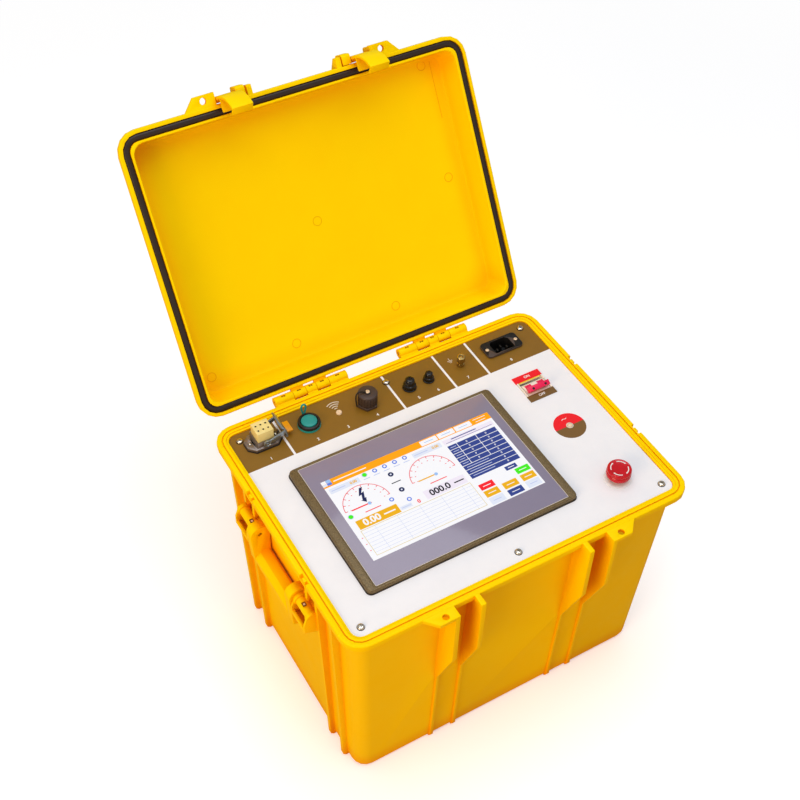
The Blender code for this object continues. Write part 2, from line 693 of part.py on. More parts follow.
def side_ribs() -> list:
    """Tapering ribs on both side walls of the base."""
    ribs = []
    foot = SIDE_RIB_FOOT
    middle_top = WALL_INSET_TOP + WALL / 2
    middle_bottom = WALL_INSET_BOTTOM + WALL / 2
    tail = WALL_INSET_BOTTOM + FOOT_ROUND / 2
    inside = FLANGE_BOTTOM + EDGE + OVERLAP
    for side in (-1, 1):
        outline = [
            (side * (RIM_X - tail), foot),
            (side * (RIM_X - WALL_INSET_BOTTOM + SIDE_RIB_PROUD_BOTTOM - FOOT_ROUND / 2), foot),
            (side * (RIM_X - WALL_INSET_BOTTOM + SIDE_RIB_PROUD_BOTTOM), foot + FOOT_ROUND / 2),
            (side * (RIM_X - WALL_INSET_TOP + SIDE_RIB_PROUD_TOP), FLANGE_BOTTOM),
            (side * (RIM_X - WALL_INSET_TOP + SIDE_RIB_PROUD_TOP), inside),
            (side * (RIM_X - middle_top), inside),
            (side * (RIM_X - middle_top), FLANGE_BOTTOM),
            (side * (RIM_X - middle_bottom), FOOT_ROUND),
        ]
        for place in SIDE_RIB_SPACING_Y:
            for end in (-1, 1):
                low = end * place - SIDE_RIB_WIDTH / 2
                ribs.append(prism("rib", outline, "Y", low, low + SIDE_RIB_WIDTH))
    return ribs


def ear_outline(side: int) -> list:
    """Plan of a padlock ear, on the left or right of the case's front."""
    root = -RIM_Y + GROOVE_INSET - OVERLAP
    tip = -RIM_Y - EAR_REACH
    return [
        (side * POST_OUTER_X, root),
        (side * POST_OUTER_X, tip),
        (side * EAR_TIP_X, tip),
        (side * EAR_ROOT_X, -RIM_Y),
        (side * EAR_ROOT_X, root),
    ]


def ear_hole(side: int, low: float, high: float):
    """Cutter of a padlock ear's hole."""
    centre = (side * EAR_HOLE_X, -RIM_Y - EAR_HOLE_OUT)
    return rod("hole", centre, EAR_HOLE_RADIUS, low, high, sides=ROUND_SIDES)


def front_posts() -> list:
    """Padlock ears and latch posts on the front wall of the base."""
    pieces = []
    top = RIM_HEIGHT - EAR_DROP
    front = -RIM_Y - POST_FIN_PROUD
    knee = RIM_HEIGHT - POST_FIN_DROP
    end = RIM_HEIGHT - POST_FIN_END_DROP
    rib_end = -RIM_Y + wall_inset(end) - POST_RIB_PROUD
    inner_top = -RIM_Y + WALL_INSET_TOP + WALL / 2
    inner_end = -RIM_Y + wall_inset(end) + WALL / 2
    inner_bottom = -RIM_Y + WALL_INSET_BOTTOM + WALL / 2
    rib_bottom = -RIM_Y + WALL_INSET_BOTTOM - POST_RIB_PROUD
    root = -RIM_Y + GROOVE_INSET - OVERLAP
    fin = [
        (root, top),
        (front + EDGE, top),
        (front, top - EDGE),
        (front, knee),
        (rib_end, end),
        (inner_end, end),
        (inner_top, FLANGE_BOTTOM),
        (root, FLANGE_BOTTOM + OVERLAP),
    ]
    rib = [
        (rib_end, end + POST_RIB_WIDTH),
        (rib_bottom, FOOT_ROUND),
        (rib_bottom + FOOT_ROUND / 2, SIDE_RIB_FOOT),
        (-RIM_Y + WALL_INSET_BOTTOM + FOOT_ROUND / 2, SIDE_RIB_FOOT),
        (inner_bottom, FOOT_ROUND),
        (inner_end, end + POST_RIB_WIDTH),
    ]
    rib_shift = (POST_FIN_WIDTH - POST_RIB_WIDTH) / 2
    for side in (-1, 1):
        pieces.append(prism("ear", ear_outline(side), "Z", top - EAR_THICK, top))
        for place in (POST_INNER_X, POST_OUTER_X):
            span = sorted((side * place, side * (place + POST_FIN_WIDTH)))
            pieces.append(prism("fin", fin, "X", span[0], span[1]))
            pieces.append(prism("rib", rib, "X", span[0] + rib_shift, span[1] - rib_shift))
    return pieces


def knuckle_spans() -> list:
    """Start and end of the five knuckles of one hinge, from its middle."""
    spans = []
    start = -sum(KNUCKLE_LENGTHS) / 2
    for length in KNUCKLE_LENGTHS:
        spans.append((start + KNUCKLE_GAP / 2, start + length - KNUCKLE_GAP / 2))
        start += length
    return spans


def knuckle_slot(low: float, high: float, angle: float):
    """Cutter of the small moulded slot on a knuckle's crown, turned about the hinge."""
    middle = (low + high) / 2
    length, width, depth = KNUCKLE_SLOT
    crown = KNUCKLE_RADIUS - depth
    cutter = box("slot", (middle - length / 2, middle + length / 2), (-width / 2, width / 2),
                 (crown, KNUCKLE_RADIUS + depth))
    turn = Matrix.Translation(HINGE_AXIS) @ Matrix.Rotation(angle, 4, "X")
    cutter.data.transform(turn)
    return cutter


def knuckles(lid_side: bool) -> tuple:
    """Knuckles with their webs, and their slots, for the base or for the lid."""
    axis_y = HINGE_AXIS.y
    axis_z = HINGE_AXIS.z
    solids = []
    slots = []
    if lid_side:
        web = [
            (axis_y, LID_RIM + EDGE),
            (RIM_Y - GASKET_INSET + OVERLAP, LID_RIM + EDGE),
            (RIM_Y - GASKET_INSET + OVERLAP, axis_z + KNUCKLE_RADIUS - EDGE),
            (axis_y, axis_z + KNUCKLE_RADIUS),
        ]
    else:
        web = [
            (axis_y, axis_z + EDGE),
            (RIM_Y - GROOVE_INSET + OVERLAP, axis_z),
            (RIM_Y - GROOVE_INSET + OVERLAP, FLANGE_BOTTOM + OVERLAP),
            (axis_y, axis_z - KNUCKLE_RADIUS),
        ]
    for hinge in (-HINGE_MIDDLE_X, HINGE_MIDDLE_X):
        for index, (start, end) in enumerate(knuckle_spans()):
            if (index % 2 == 1) != lid_side:
                continue
            low = hinge + start
            high = hinge + end
            solids.append(prism("web", web, "X", low, high))
            solids.append(rod("barrel", (axis_y, axis_z), KNUCKLE_RADIUS, low, high, "X", ROUND_SIDES))
            slots.append(knuckle_slot(low, high, LID_OPEN_ANGLE if lid_side else 0.0))
    return solids, slots


def hinge_bores() -> list:
    """Cutters of the two hinges' pin bores."""
    half = sum(KNUCKLE_LENGTHS) / 2 + OVERLAP
    bores = []
    for hinge in (-HINGE_MIDDLE_X, HINGE_MIDDLE_X):
        centre = (HINGE_AXIS.y, HINGE_AXIS.z)
        bores.append(rod("bore", centre, HINGE_PIN_RADIUS + GAP, hinge - half, hinge + half, "X"))
    return bores


def bracket_outline(side: int) -> list:
    """Side view of a handle bracket's end plates."""
    inner = side * (RIM_X - wall_inset(HANDLE_Z) - WALL / 2)
    mouth = side * (HANDLE_X + BRACKET_REACH)
    return [
        (inner, HANDLE_Z + BRACKET_TOP_RISE),
        (side * (HANDLE_X - BARREL_RADIUS), HANDLE_Z + BARREL_RADIUS),
        (side * (HANDLE_X + BARREL_RADIUS), HANDLE_Z),
        (mouth, HANDLE_Z - BARREL_RADIUS),
        (mouth, HANDLE_Z - BRACKET_MOUTH_DROP),
        (inner, HANDLE_Z - BRACKET_BOTTOM_DROP),
    ]


def bracket_floor(side: int) -> list:
    """Side view of the sloping floor and low outer lip that join a bracket's end plates."""
    inner = side * (RIM_X - wall_inset(HANDLE_Z) - WALL / 2)
    mouth = side * (HANDLE_X + BRACKET_REACH)
    return [
        (mouth, HANDLE_Z - BRACKET_MOUTH_DROP),
        (mouth, HANDLE_Z - BRACKET_MOUTH_DROP + BRACKET_LIP_HEIGHT),
        (mouth - side * BRACKET_PLATE, HANDLE_Z - BRACKET_MOUTH_DROP + BRACKET_LIP_HEIGHT),
        (mouth - side * BRACKET_PLATE, HANDLE_Z - BRACKET_MOUTH_DROP + BRACKET_PLATE / 2),
        (inner, HANDLE_Z - BRACKET_BOTTOM_DROP + BRACKET_PLATE),
        (inner, HANDLE_Z - BRACKET_BOTTOM_DROP),
    ]


def handle_brackets() -> tuple:
    """Handle brackets with their barrels, the cutters of bores and rim notches, and the fins in those."""
    solids = []
    cutters = []
    fins = []
    inner_x = RIM_X - wall_inset(HANDLE_Z) - WALL / 2
    notch_low = FLANGE_BOTTOM + OVERLAP + EDGE
    for side in (-1, 1):
        axis = (side * HANDLE_X, HANDLE_Z)
        for end in (-1, 1):
            start = end * (ARM_OUTER_Y + KNUCKLE_GAP)
            far = end * (ARM_OUTER_Y + BARREL_LENGTH)
            outline = bracket_outline(side)
            for face, into in ((start, end), (far, -end)):
                plate = sorted((face, face + into * BRACKET_PLATE))
                disc = sorted((face, face + into * BARREL_DISC))
                solids.append(prism("plate", outline, "Y", plate[0], plate[1]))
                solids.append(rod("disc", axis, BARREL_RADIUS, disc[0], disc[1], "Y", ROUND_SIDES))
            barrel = sorted((start, far))
            solids.append(prism("floor", bracket_floor(side), "Y", barrel[0] + EDGE, barrel[1] - EDGE))
            solids.append(rod("barrel", axis, BARREL_CORE, barrel[0] + EDGE, barrel[1] - EDGE, "Y",
                              ROUND_SIDES))
            notch_middle = end * (ARM_OUTER_Y + NOTCH_OFFSET)
            fin_y = (notch_middle - NOTCH_FIN / 2, notch_middle + NOTCH_FIN / 2)
            web_x = sorted((side * inner_x, side * (HANDLE_X - BARREL_CORE / 2)))
            fins.append(box("web", tuple(web_x), fin_y, (HANDLE_Z + BARREL_CORE / 2, notch_low + EDGE)))
            fin_x = sorted((side * (RIM_X - NOTCH_DEPTH - OVERLAP), side * (RIM_X - NOTCH_FIN_SHORT)))
            fins.append(box("fin", tuple(fin_x), fin_y, (notch_low - EDGE, RIM_HEIGHT - NOTCH_FIN_SHORT)))
            bore_end = start + end * HANDLE_PIN_INSERT * 2
            bore = sorted((start - end * OVERLAP, bore_end))
            cutters.append(rod("bore", axis, HANDLE_PIN_RADIUS + GAP, bore[0], bore[1], "Y"))
            notch_x = sorted((side * (RIM_X - NOTCH_DEPTH), side * (RIM_X + OVERLAP)))
            cutters.append(box("notch", tuple(notch_x),
                               (notch_middle - NOTCH_WIDTH / 2, notch_middle + NOTCH_WIDTH / 2),
                               (notch_low, RIM_HEIGHT + OVERLAP)))
    return solids, cutters, fins


def panel_screw_places() -> list:
    """Plan places of the six screws that hold the panel."""
    x = PANEL_X - SCREW_INSET_X
    y = PANEL_Y - SCREW_INSET_Y
    return [(column, row) for row in (-y, y) for column in (-x, 0.0, x)]


def ledge_reliefs() -> list:
    """Cutters that open the ledge behind the fittings that reach over it."""
    well = (INLET_OPENING[0] + 2 * INLET_WALL, INLET_OPENING[1] + 2 * INLET_WALL)
    fittings = [
        (OUTPUT_CENTRE, OUTPUT_NECK),
        (USB_CENTRE, (2 * USB_BODY_RADIUS, 2 * USB_BODY_RADIUS)),
        (INLET_CENTRE, well),
    ]
    cutters = []
    for centre, size in fittings:
        grown = (size[0] + 2 * LEDGE_RELIEF, size[1] + 2 * LEDGE_RELIEF)
        cutters.append(block("relief", centre, grown, LEDGE_Z - LEDGE_THICK - OVERLAP, LEDGE_Z + OVERLAP))
    return cutters


def make_base() -> None:
    """The moulded base of the case."""
    shell = base_tub()
    hinge_solids, hinge_slots = knuckles(False)
    bracket_solids, bracket_cutters, notch_fins = handle_brackets()
    join(shell, side_ribs() + front_posts() + bracket_solids + hinge_solids)
    holes = [ear_hole(side, FLANGE_BOTTOM - EAR_REACH, RIM_HEIGHT + OVERLAP) for side in (-1, 1)]
    for place in panel_screw_places():
        holes.append(rod("hole", place, SCREW_HOLE, LEDGE_Z - LEDGE_THICK - OVERLAP, LEDGE_Z + OVERLAP))
    cut(shell, holes + ledge_reliefs() + hinge_slots + hinge_bores() + bracket_cutters)
    join(shell, notch_fins)
    dress(shell, "yellow_plastic")


def make_hinge_pins() -> None:
    """A steel pin through the five knuckles of each hinge."""
    half = sum(KNUCKLE_LENGTHS) / 2 - HINGE_PIN_SHORT
    centre = (HINGE_AXIS.y, HINGE_AXIS.z)
    for word, middle in (("left", -HINGE_MIDDLE_X), ("right", HINGE_MIDDLE_X)):
        pin = rod(f"hinge_pin_{word}", centre, HINGE_PIN_RADIUS, middle - half, middle + half, "X")
        set_origin(pin, HINGE_AXIS)
        dress(pin, "steel")


def make_handles() -> None:
    """The two carrying handles and the pins that they turn on."""
    for word, side in (("left", -1), ("right", 1)):
        axis = (side * HANDLE_X, HANDLE_Z)
        outer = side * (HANDLE_X + GRIP_OUT)
        inner = side * (HANDLE_X - GRIP_IN)
        grip_top = HANDLE_Z - GRIP_TOP_DROP
        grip_bottom = grip_top - GRIP_HEIGHT
        crown = arc(axis, ARM_RADIUS, 0.0, math.pi, 8)
        bevelled = GRIP_BEVEL
        low_x, high_x = sorted((outer, inner))
        foot = [(low_x, grip_bottom + bevelled), (low_x + bevelled, grip_bottom),
                (high_x - bevelled, grip_bottom), (high_x, grip_bottom + bevelled)]
        arm_outline = crown + foot
        chamfer = side * GRIP_CHAMFER
        bevel = side * GRIP_BEVEL
        grip_outline = [
            (outer, grip_bottom + GRIP_BEVEL), (outer, grip_top - GRIP_CHAMFER),
            (outer - chamfer, grip_top), (inner + bevel, grip_top), (inner, grip_top - GRIP_BEVEL),
            (inner, grip_bottom + GRIP_BEVEL), (inner + bevel, grip_bottom), (outer - bevel, grip_bottom),
        ]
        reach = ARM_OUTER_Y - ARM_THICK + OVERLAP
        handle = prism(f"handle_{word}", grip_outline, "Y", -reach, reach)
        arms = []
        bores = []
        for end_word, end in (("front", -1), ("back", 1)):
            low, high = sorted((end * ARM_OUTER_Y, end * (ARM_OUTER_Y - ARM_THICK)))
            arms.append(prism("arm", arm_outline, "Y", low, high))
            bores.append(rod("bore", axis, HANDLE_PIN_RADIUS + GAP, low - OVERLAP, high + OVERLAP, "Y"))
            pin_low, pin_high = sorted((end * (ARM_OUTER_Y - ARM_THICK + EDGE),
                                        end * (ARM_OUTER_Y + HANDLE_PIN_INSERT)))
            pin = rod(f"handle_pin_{word}_{end_word}", axis, HANDLE_PIN_RADIUS, pin_low, pin_high, "Y")
            dress(pin, "steel")
        join(handle, arms)
        cut(handle, bores)
        set_origin(handle, Vector((axis[0], 0.0, axis[1])))
        dress(handle, "yellow_plastic")


def lid_tub():
    """The lid's shell, closed: outside, rim with the gasket's channel, and inside."""
    rings = []
    steps = 3
    top = LID_RIM + LID_DEPTH
    outer_corner = WALL_CORNER
    for step in range(steps + 1):
        angle = math.pi / 2 * step / steps
        inset = lid_inset(LID_DEPTH - LID_ROUND) + LID_ROUND * (1 - math.sin(angle))
        rings.append(case_ring(inset, top - LID_ROUND * (1 - math.cos(angle)), outer_corner))
    channel_end = GASKET_INSET + GASKET_CHANNEL
    lip_end = LID_WALL_INSET + WALL
    inner_top = LID_RIM + LID_DEPTH - LID_FLOOR
    inner_corner = WALL_CORNER - WALL
    inner_inset = lid_inset(LID_DEPTH - LID_FLOOR - LID_INNER_ROUND) + WALL
    rings += [
        case_ring(LID_WALL_INSET, LID_RIM + LID_FLANGE, outer_corner),
        case_ring(EDGE, LID_RIM + LID_FLANGE, RIM_CORNER - EDGE),
        case_ring(0.0, LID_RIM + LID_FLANGE - EDGE, RIM_CORNER),
        case_ring(0.0, LID_RIM + EDGE, RIM_CORNER),
        case_ring(EDGE, LID_RIM, RIM_CORNER - EDGE),
        case_ring(GASKET_INSET, LID_RIM, RIM_CORNER - GASKET_INSET),
        case_ring(GASKET_INSET, LID_RIM + GASKET_DEPTH, RIM_CORNER - GASKET_INSET),
        case_ring(channel_end, LID_RIM + GASKET_DEPTH, RIM_CORNER - channel_end),
        case_ring(channel_end, LID_RIM, RIM_CORNER - channel_end),
        case_ring(lip_end - EDGE, LID_RIM, inner_corner + EDGE),
        case_ring(lip_end, LID_RIM + EDGE, inner_corner),
        case_ring(lip_end, LID_RIM + LID_FLANGE, inner_corner),
        case_ring(inner_inset, inner_top - LID_INNER_ROUND, inner_corner),
        case_ring(inner_inset + LID_INNER_ROUND / 4, inner_top - LID_INNER_ROUND / 4, inner_corner),
        case_ring(inner_inset + LID_INNER_ROUND, inner_top, inner_corner),
    ]
    return loft("lid_shell", rings)


def lid_ribs() -> list:
    """Short ribs on the side walls of the lid."""
    pieces = []
    low_z = LID_RIM + LID_FLANGE - OVERLAP
    high_z = LID_RIM + LID_RIB_HEIGHT
    top_inset = lid_inset(LID_RIB_HEIGHT)
    for side in (-1, 1):
        outline = [
            (side * (RIM_X - LID_WALL_INSET - WALL / 2), low_z),
            (side * (RIM_X - LID_WALL_INSET + LID_RIB_PROUD), low_z),
            (side * (RIM_X - LID_WALL_INSET + LID_RIB_PROUD), LID_RIM + LID_FLANGE + OVERLAP),
            (side * (RIM_X - top_inset + LID_RIB_PROUD), high_z - FOOT_ROUND / 2),
            (side * (RIM_X - top_inset + LID_RIB_PROUD / 2), high_z),
            (side * (RIM_X - top_inset - WALL / 2), high_z),
        ]
        for place in LID_RIB_Y:
            for end in (-1, 1):
                low = end * place - SIDE_RIB_WIDTH / 2
                pieces.append(prism("rib", outline, "Y", low, low + SIDE_RIB_WIDTH))
    return pieces


def boss_outline(inset: float) -> list:
    """Side view of the bosses that carry a latch pin, from the lid's wall outwards, shrunk by an inset."""
    root = -RIM_Y + LID_WALL_INSET + WALL / 2
    front = -RIM_Y - BOSS_OUT + inset
    low = LID_RIM + BOSS_FOOT + inset
    high = LID_RIM + BOSS_RISE - inset
    upper = arc((front + BOSS_CORNER, high - BOSS_CORNER), BOSS_CORNER, math.pi / 2, math.pi, 3)
    lower = arc((front + BOSS_CORNER, low + BOSS_CORNER), BOSS_CORNER, math.pi, math.pi * 1.5, 3)
    return [(root, high)] + upper + lower + [
        (-RIM_Y - EDGE, low), (-RIM_Y - EDGE, LID_RIM + LID_FLANGE), (root, LID_RIM + LID_FLANGE),
    ]


def lid_fronts() -> tuple:
    """Padlock ears, latch bosses and end fins on the lid's front, and the pin bores."""
    solids = []
    cutters = []
    ear_low = LID_RIM + EAR_DROP
    outline = boss_outline(0.0)
    fin_root = -RIM_Y + LID_WALL_INSET + WALL / 2
    fin = [
        (fin_root, LID_RIM + LID_FLANGE - OVERLAP),
        (-RIM_Y + OVERLAP, LID_RIM + LID_FLANGE - OVERLAP),
        (-RIM_Y + OVERLAP, LID_RIM + EDGE),
        (-RIM_Y - LID_FIN_PROUD + EDGE, LID_RIM + EDGE),
        (-RIM_Y - LID_FIN_PROUD, LID_RIM + EDGE * 2),
        (-RIM_Y - LID_FIN_PROUD, LID_RIM + LID_FLANGE),
        (-RIM_Y + lid_inset(LID_FIN_HEIGHT) - OVERLAP, LID_RIM + LID_FIN_HEIGHT),
        (-RIM_Y + lid_inset(LID_FIN_HEIGHT) + WALL / 2, LID_RIM + LID_FIN_HEIGHT),
    ]
    for side in (-1, 1):
        solids.append(prism("ear", ear_outline(side), "Z", ear_low, ear_low + EAR_THICK))
        boss_high = POST_MIDDLE_X - LATCH_WIDTH / 2 - KNUCKLE_GAP
        inner = sorted((side * (boss_high - BOSS_WIDTH), side * boss_high))
        outer = sorted((side * POST_OUTER_X, side * (POST_OUTER_X + POST_FIN_WIDTH)))
        solids.append(prism("boss", outline, "X", inner[0], inner[1]))
        solids.append(prism("boss", outline, "X", outer[0], outer[1]))
        fin_low = side * LID_FIN_X - LID_FIN_WIDTH / 2
        solids.append(prism("fin", fin, "X", fin_low, fin_low + LID_FIN_WIDTH))
        cutters.append(ear_hole(side, LID_RIM - OVERLAP, LID_RIM + LID_FLANGE - OVERLAP))
        bore_low = boss_high - BOSS_WIDTH + BRACKET_PLATE
        bore = sorted((side * bore_low, side * (POST_OUTER_X + POST_RIB_WIDTH)))
        cutters.append(rod("bore", (LATCH_AXIS_Y, LATCH_AXIS_Z), LATCH_PIN_RADIUS + GAP,
                           bore[0], bore[1], "X"))
    return solids, cutters


def make_lid(holder) -> None:
    """The moulded lid and its gasket, on the hinge's holder."""
    shell = lid_tub()
    hinge_solids, hinge_slots = knuckles(True)
    front_solids, front_cutters = lid_fronts()
    join(shell, lid_ribs() + front_solids + hinge_solids)
    cut(shell, front_cutters + hinge_slots + hinge_bores())
    hang(shell, holder, HINGE_AXIS)
    dress(shell, "yellow_plastic")

    outer = GASKET_INSET + GAP
    inner = GASKET_INSET + GASKET_CHANNEL - GAP
    middle = (outer + inner) / 2
    face = LID_RIM + GASKET_RECESS
    back = LID_RIM + GASKET_DEPTH - GAP
    shoulder = (inner - outer) / 5
    rings = []
    section = [
        (outer, back), (outer, face + shoulder), (outer + shoulder, face + GAP), (middle, face),
        (inner - shoulder, face + GAP), (inner, face + shoulder), (inner, back),
    ]
    for inset, height in section:
        rings.append(case_ring(inset, height, RIM_CORNER - inset))
    gasket = loft("lid_gasket", rings, closed=True)
    hang(gasket, holder, HINGE_AXIS)
    dress(gasket, "gasket_rubber")


def latch_outline() -> list:
    """Side view of a latch: hub, arched plate with its end lip, and the hook for the base's flange."""
    axis = (LATCH_AXIS_Y, LATCH_AXIS_Z)
    middle = (-RIM_Y - LATCH_ARCH_OUT + LATCH_ARCH_RADIUS, LID_RIM - LATCH_CREST_DROP)
    outer = arc(middle, LATCH_ARCH_RADIUS, math.pi - LATCH_ARCH_START, math.pi + LATCH_ARCH_END, 9)
    inner_radius = LATCH_ARCH_RADIUS - LATCH_PLATE
    inner = arc(middle, inner_radius, math.pi + LATCH_ARCH_END, math.pi - LATCH_ARCH_START, 9)
    along = (math.cos(LATCH_LIP_ANGLE), math.sin(LATCH_LIP_ANGLE))
    bend = outer[-1]
    limit = -RIM_Y + wall_inset(bend[1]) - LATCH_LIP_END
    reach = (limit - bend[0]) / along[0]
    across = (-along[1] * LATCH_LIP_THICK, along[0] * LATCH_LIP_THICK)
    low_end = (bend[0] + along[0] * reach, bend[1] + along[1] * reach)
    high_end = (low_end[0] + across[0], low_end[1] + across[1])
    root = (inner[0][0] - across[1] / 2, inner[0][1] + across[1] / 2)
    hook_top = FLANGE_BOTTOM - LATCH_HOOK_GAP
    hook_low = hook_top - LATCH_HOOK_THICK
    above = [point for point in inner[1:] if point[1] > hook_top]
    below = [point for point in inner[1:] if point[1] < hook_low]
    hook_root = -RIM_Y - LATCH_ARCH_OUT + LATCH_PLATE
    hook_end = -RIM_Y + LATCH_HOOK_REACH
    hook = [
        (hook_root, hook_low), (hook_end, hook_low), (hook_end, hook_top - LATCH_HOOK_THICK / 2),
        (hook_end - LATCH_HOOK_THICK / 2, hook_top), (hook_root, hook_top),
    ]
    hub = arc(axis, LATCH_HUB_RADIUS, LATCH_HUB_START, LATCH_HUB_END, 9)
    return hub + outer + [low_end, high_end, root] + below + hook + above


def make_latches(lid_holder) -> None:
    """Two latches on their pins at the lid's front edge."""
    axis = (LATCH_AXIS_Y, LATCH_AXIS_Z)
    pin_low = POST_MIDDLE_X - LATCH_WIDTH / 2 - KNUCKLE_GAP - BOSS_WIDTH + BRACKET_PLATE + GAP
    pin_high = POST_OUTER_X + POST_RIB_WIDTH - GAP
    for word, side in (("left", -1), ("right", 1)):
        low = side * POST_MIDDLE_X - LATCH_WIDTH / 2
        latch = prism(f"latch_{word}", latch_outline(), "X", low, low + LATCH_WIDTH)
        bore = (low - OVERLAP, low + LATCH_WIDTH + OVERLAP)
        cut(latch, [rod("bore", axis, LATCH_PIN_RADIUS + GAP, bore[0], bore[1], "X")])
        place = Vector((0.0, axis[0], axis[1]))
        latch_holder = empty_at(f"latch_axis_{word}", place - HINGE_AXIS, parent=lid_holder)
        hang(latch, latch_holder, place)
        dress(latch, "yellow_plastic")
        span = sorted((side * pin_low, side * pin_high))
        pin = rod(f"latch_pin_{word}", axis, LATCH_PIN_RADIUS, span[0], span[1], "X")
        hang(pin, lid_holder, HINGE_AXIS)
        dress(pin, "steel")


def pan_screw(name: str, place: tuple, seat: float, length: float = SCREW_LENGTH):
    """A pan-head screw standing on a seat."""
    profile = [(SCREW_SHANK, seat - length), (SCREW_SHANK, seat), (SCREW_HEAD, seat)]
    profile += [(SCREW_HEAD * wide, seat + SCREW_HEAD_HEIGHT * rise) for wide, rise in SCREW_HEAD_PROFILE]
    return turned(name, profile, place, sides=SMALL_SIDES)


def hmi_back_size() -> tuple:
    """Plan size of the touch panel's housing, which carries the glass."""
    return (HMI_GLASS[0] - 2 * HMI_GLASS_LEDGE, HMI_GLASS[1] - 2 * HMI_GLASS_LEDGE)


def make_panel() -> None:
    """The flat front panel with the cut-outs of what is fitted to it, and its screws."""
    outline = rounded(2 * PANEL_X, 2 * PANEL_Y, PANEL_CORNER)
    panel = prism("front_panel", outline, "Z", PANEL_BOTTOM, PANEL_TOP)
    low = PANEL_BOTTOM - OVERLAP
    high = PANEL_TOP + OVERLAP
    back = hmi_back_size()
    clearance = 2 * HMI_CUTOUT_CLEARANCE
    window = (BREAKER_WINDOW[0] + 2 * BREAKER_WALL, BREAKER_WINDOW[1] + 2 * BREAKER_WALL)
    cutters = [
        block("cut", HMI_CENTRE, (back[0] + clearance, back[1] + clearance), low, high),
        block("cut", OUTPUT_CENTRE, (OUTPUT_NECK[0] + clearance, OUTPUT_NECK[1] + clearance), low, high),
        block("cut", INLET_CENTRE,
              (INLET_OPENING[0] + 2 * INLET_WALL + clearance, INLET_OPENING[1] + 2 * INLET_WALL + clearance),
              low, high),
        block("cut", BREAKER_CENTRE, (window[0] + clearance, window[1] + clearance), low, high),
    ]
    round_holes = [
        (USB_CENTRE, USB_BODY_RADIUS), (ANTENNA_CENTRE, ANTENNA_RADIUS), (LAN_CENTRE, LAN_NECK_RADIUS),
        (GROUND_CENTRE, GROUND_STEM), (LAMP_CENTRE, LAMP_RADIUS), (STOP_CENTRE, STOP_STEM_GUIDE),
    ]
    round_holes += [(place, TERMINAL_STEM) for place, _, _ in TERMINALS.values()]
    for place, radius in round_holes:
        cutters.append(rod("cut", place, radius + GAP, low, high, sides=ROUND_SIDES))
    screw_places = list(panel_screw_places())
    for centre, spacing in ((OUTPUT_CENTRE, OUTPUT_SCREW_SPACING), (INLET_CENTRE, INLET_SCREW_SPACING)):
        for side in (-1, 1):
            screw_places.append((centre[0] + side * spacing / 2, centre[1]))
    for place in screw_places:
        cutters.append(rod("cut", place, SCREW_HOLE, low, high))
    cut(panel, cutters)
    dress(panel, "white_panel")
    for number, place in enumerate(panel_screw_places(), 1):
        dress(pan_screw(f"panel_screw_{number}", place, PANEL_TOP + GAP), "steel")


def make_touch_panel() -> None:
    """Touch panel: raised bezel, glass, housing behind the panel and its clamps."""
    seat = PANEL_TOP + GAP
    top = seat + HMI_RISE
    x, y = HMI_CENTRE
    outer = rounded(HMI_SIZE[0], HMI_SIZE[1], HMI_CORNER, 3)
    inner = rounded(HMI_GLASS[0] + 2 * GAP, HMI_GLASS[1] + 2 * GAP, HMI_GLASS_LEDGE, 3)
    crown = rounded(HMI_SIZE[0] - 2 * EDGE, HMI_SIZE[1] - 2 * EDGE, HMI_CORNER - EDGE, 3)
    rings = []
    for outline, level in ((outer, seat), (outer, top - EDGE), (crown, top), (inner, top), (inner, seat)):
        rings.append([(x + u, y + v, level) for u, v in outline])
    dress(loft("hmi_bezel", rings, closed=True), "dark_bezel")

    glass_top = top - HMI_GLASS_RECESS
    glass_bottom = glass_top - HMI_GLASS_THICK
    outline = [(x + u, y + v) for u, v in rounded(HMI_GLASS[0], HMI_GLASS[1], HMI_GLASS_LEDGE, 3)]
    dress(prism("hmi_glass", outline, "Z", glass_bottom, glass_top), "grey_glass")

    back = hmi_back_size()
    back_bottom = PANEL_BOTTOM - HMI_BACK_DEPTH
    housing = block("hmi_housing", HMI_CENTRE, back, back_bottom, glass_bottom - GAP)
    clamps = []
    clamp_top = PANEL_BOTTOM - GAP
    for column in (-1, 1):
        for row in (-1, 1):
            middle = (x + column * CLAMP_SHARE * back[0], y + row * back[1] / 2)
            clamps.append(block("clamp", middle, CLAMP_SIZE, clamp_top - CLAMP_SIZE[2], clamp_top))
    join(housing, clamps)
    dress(housing, "black_plastic")


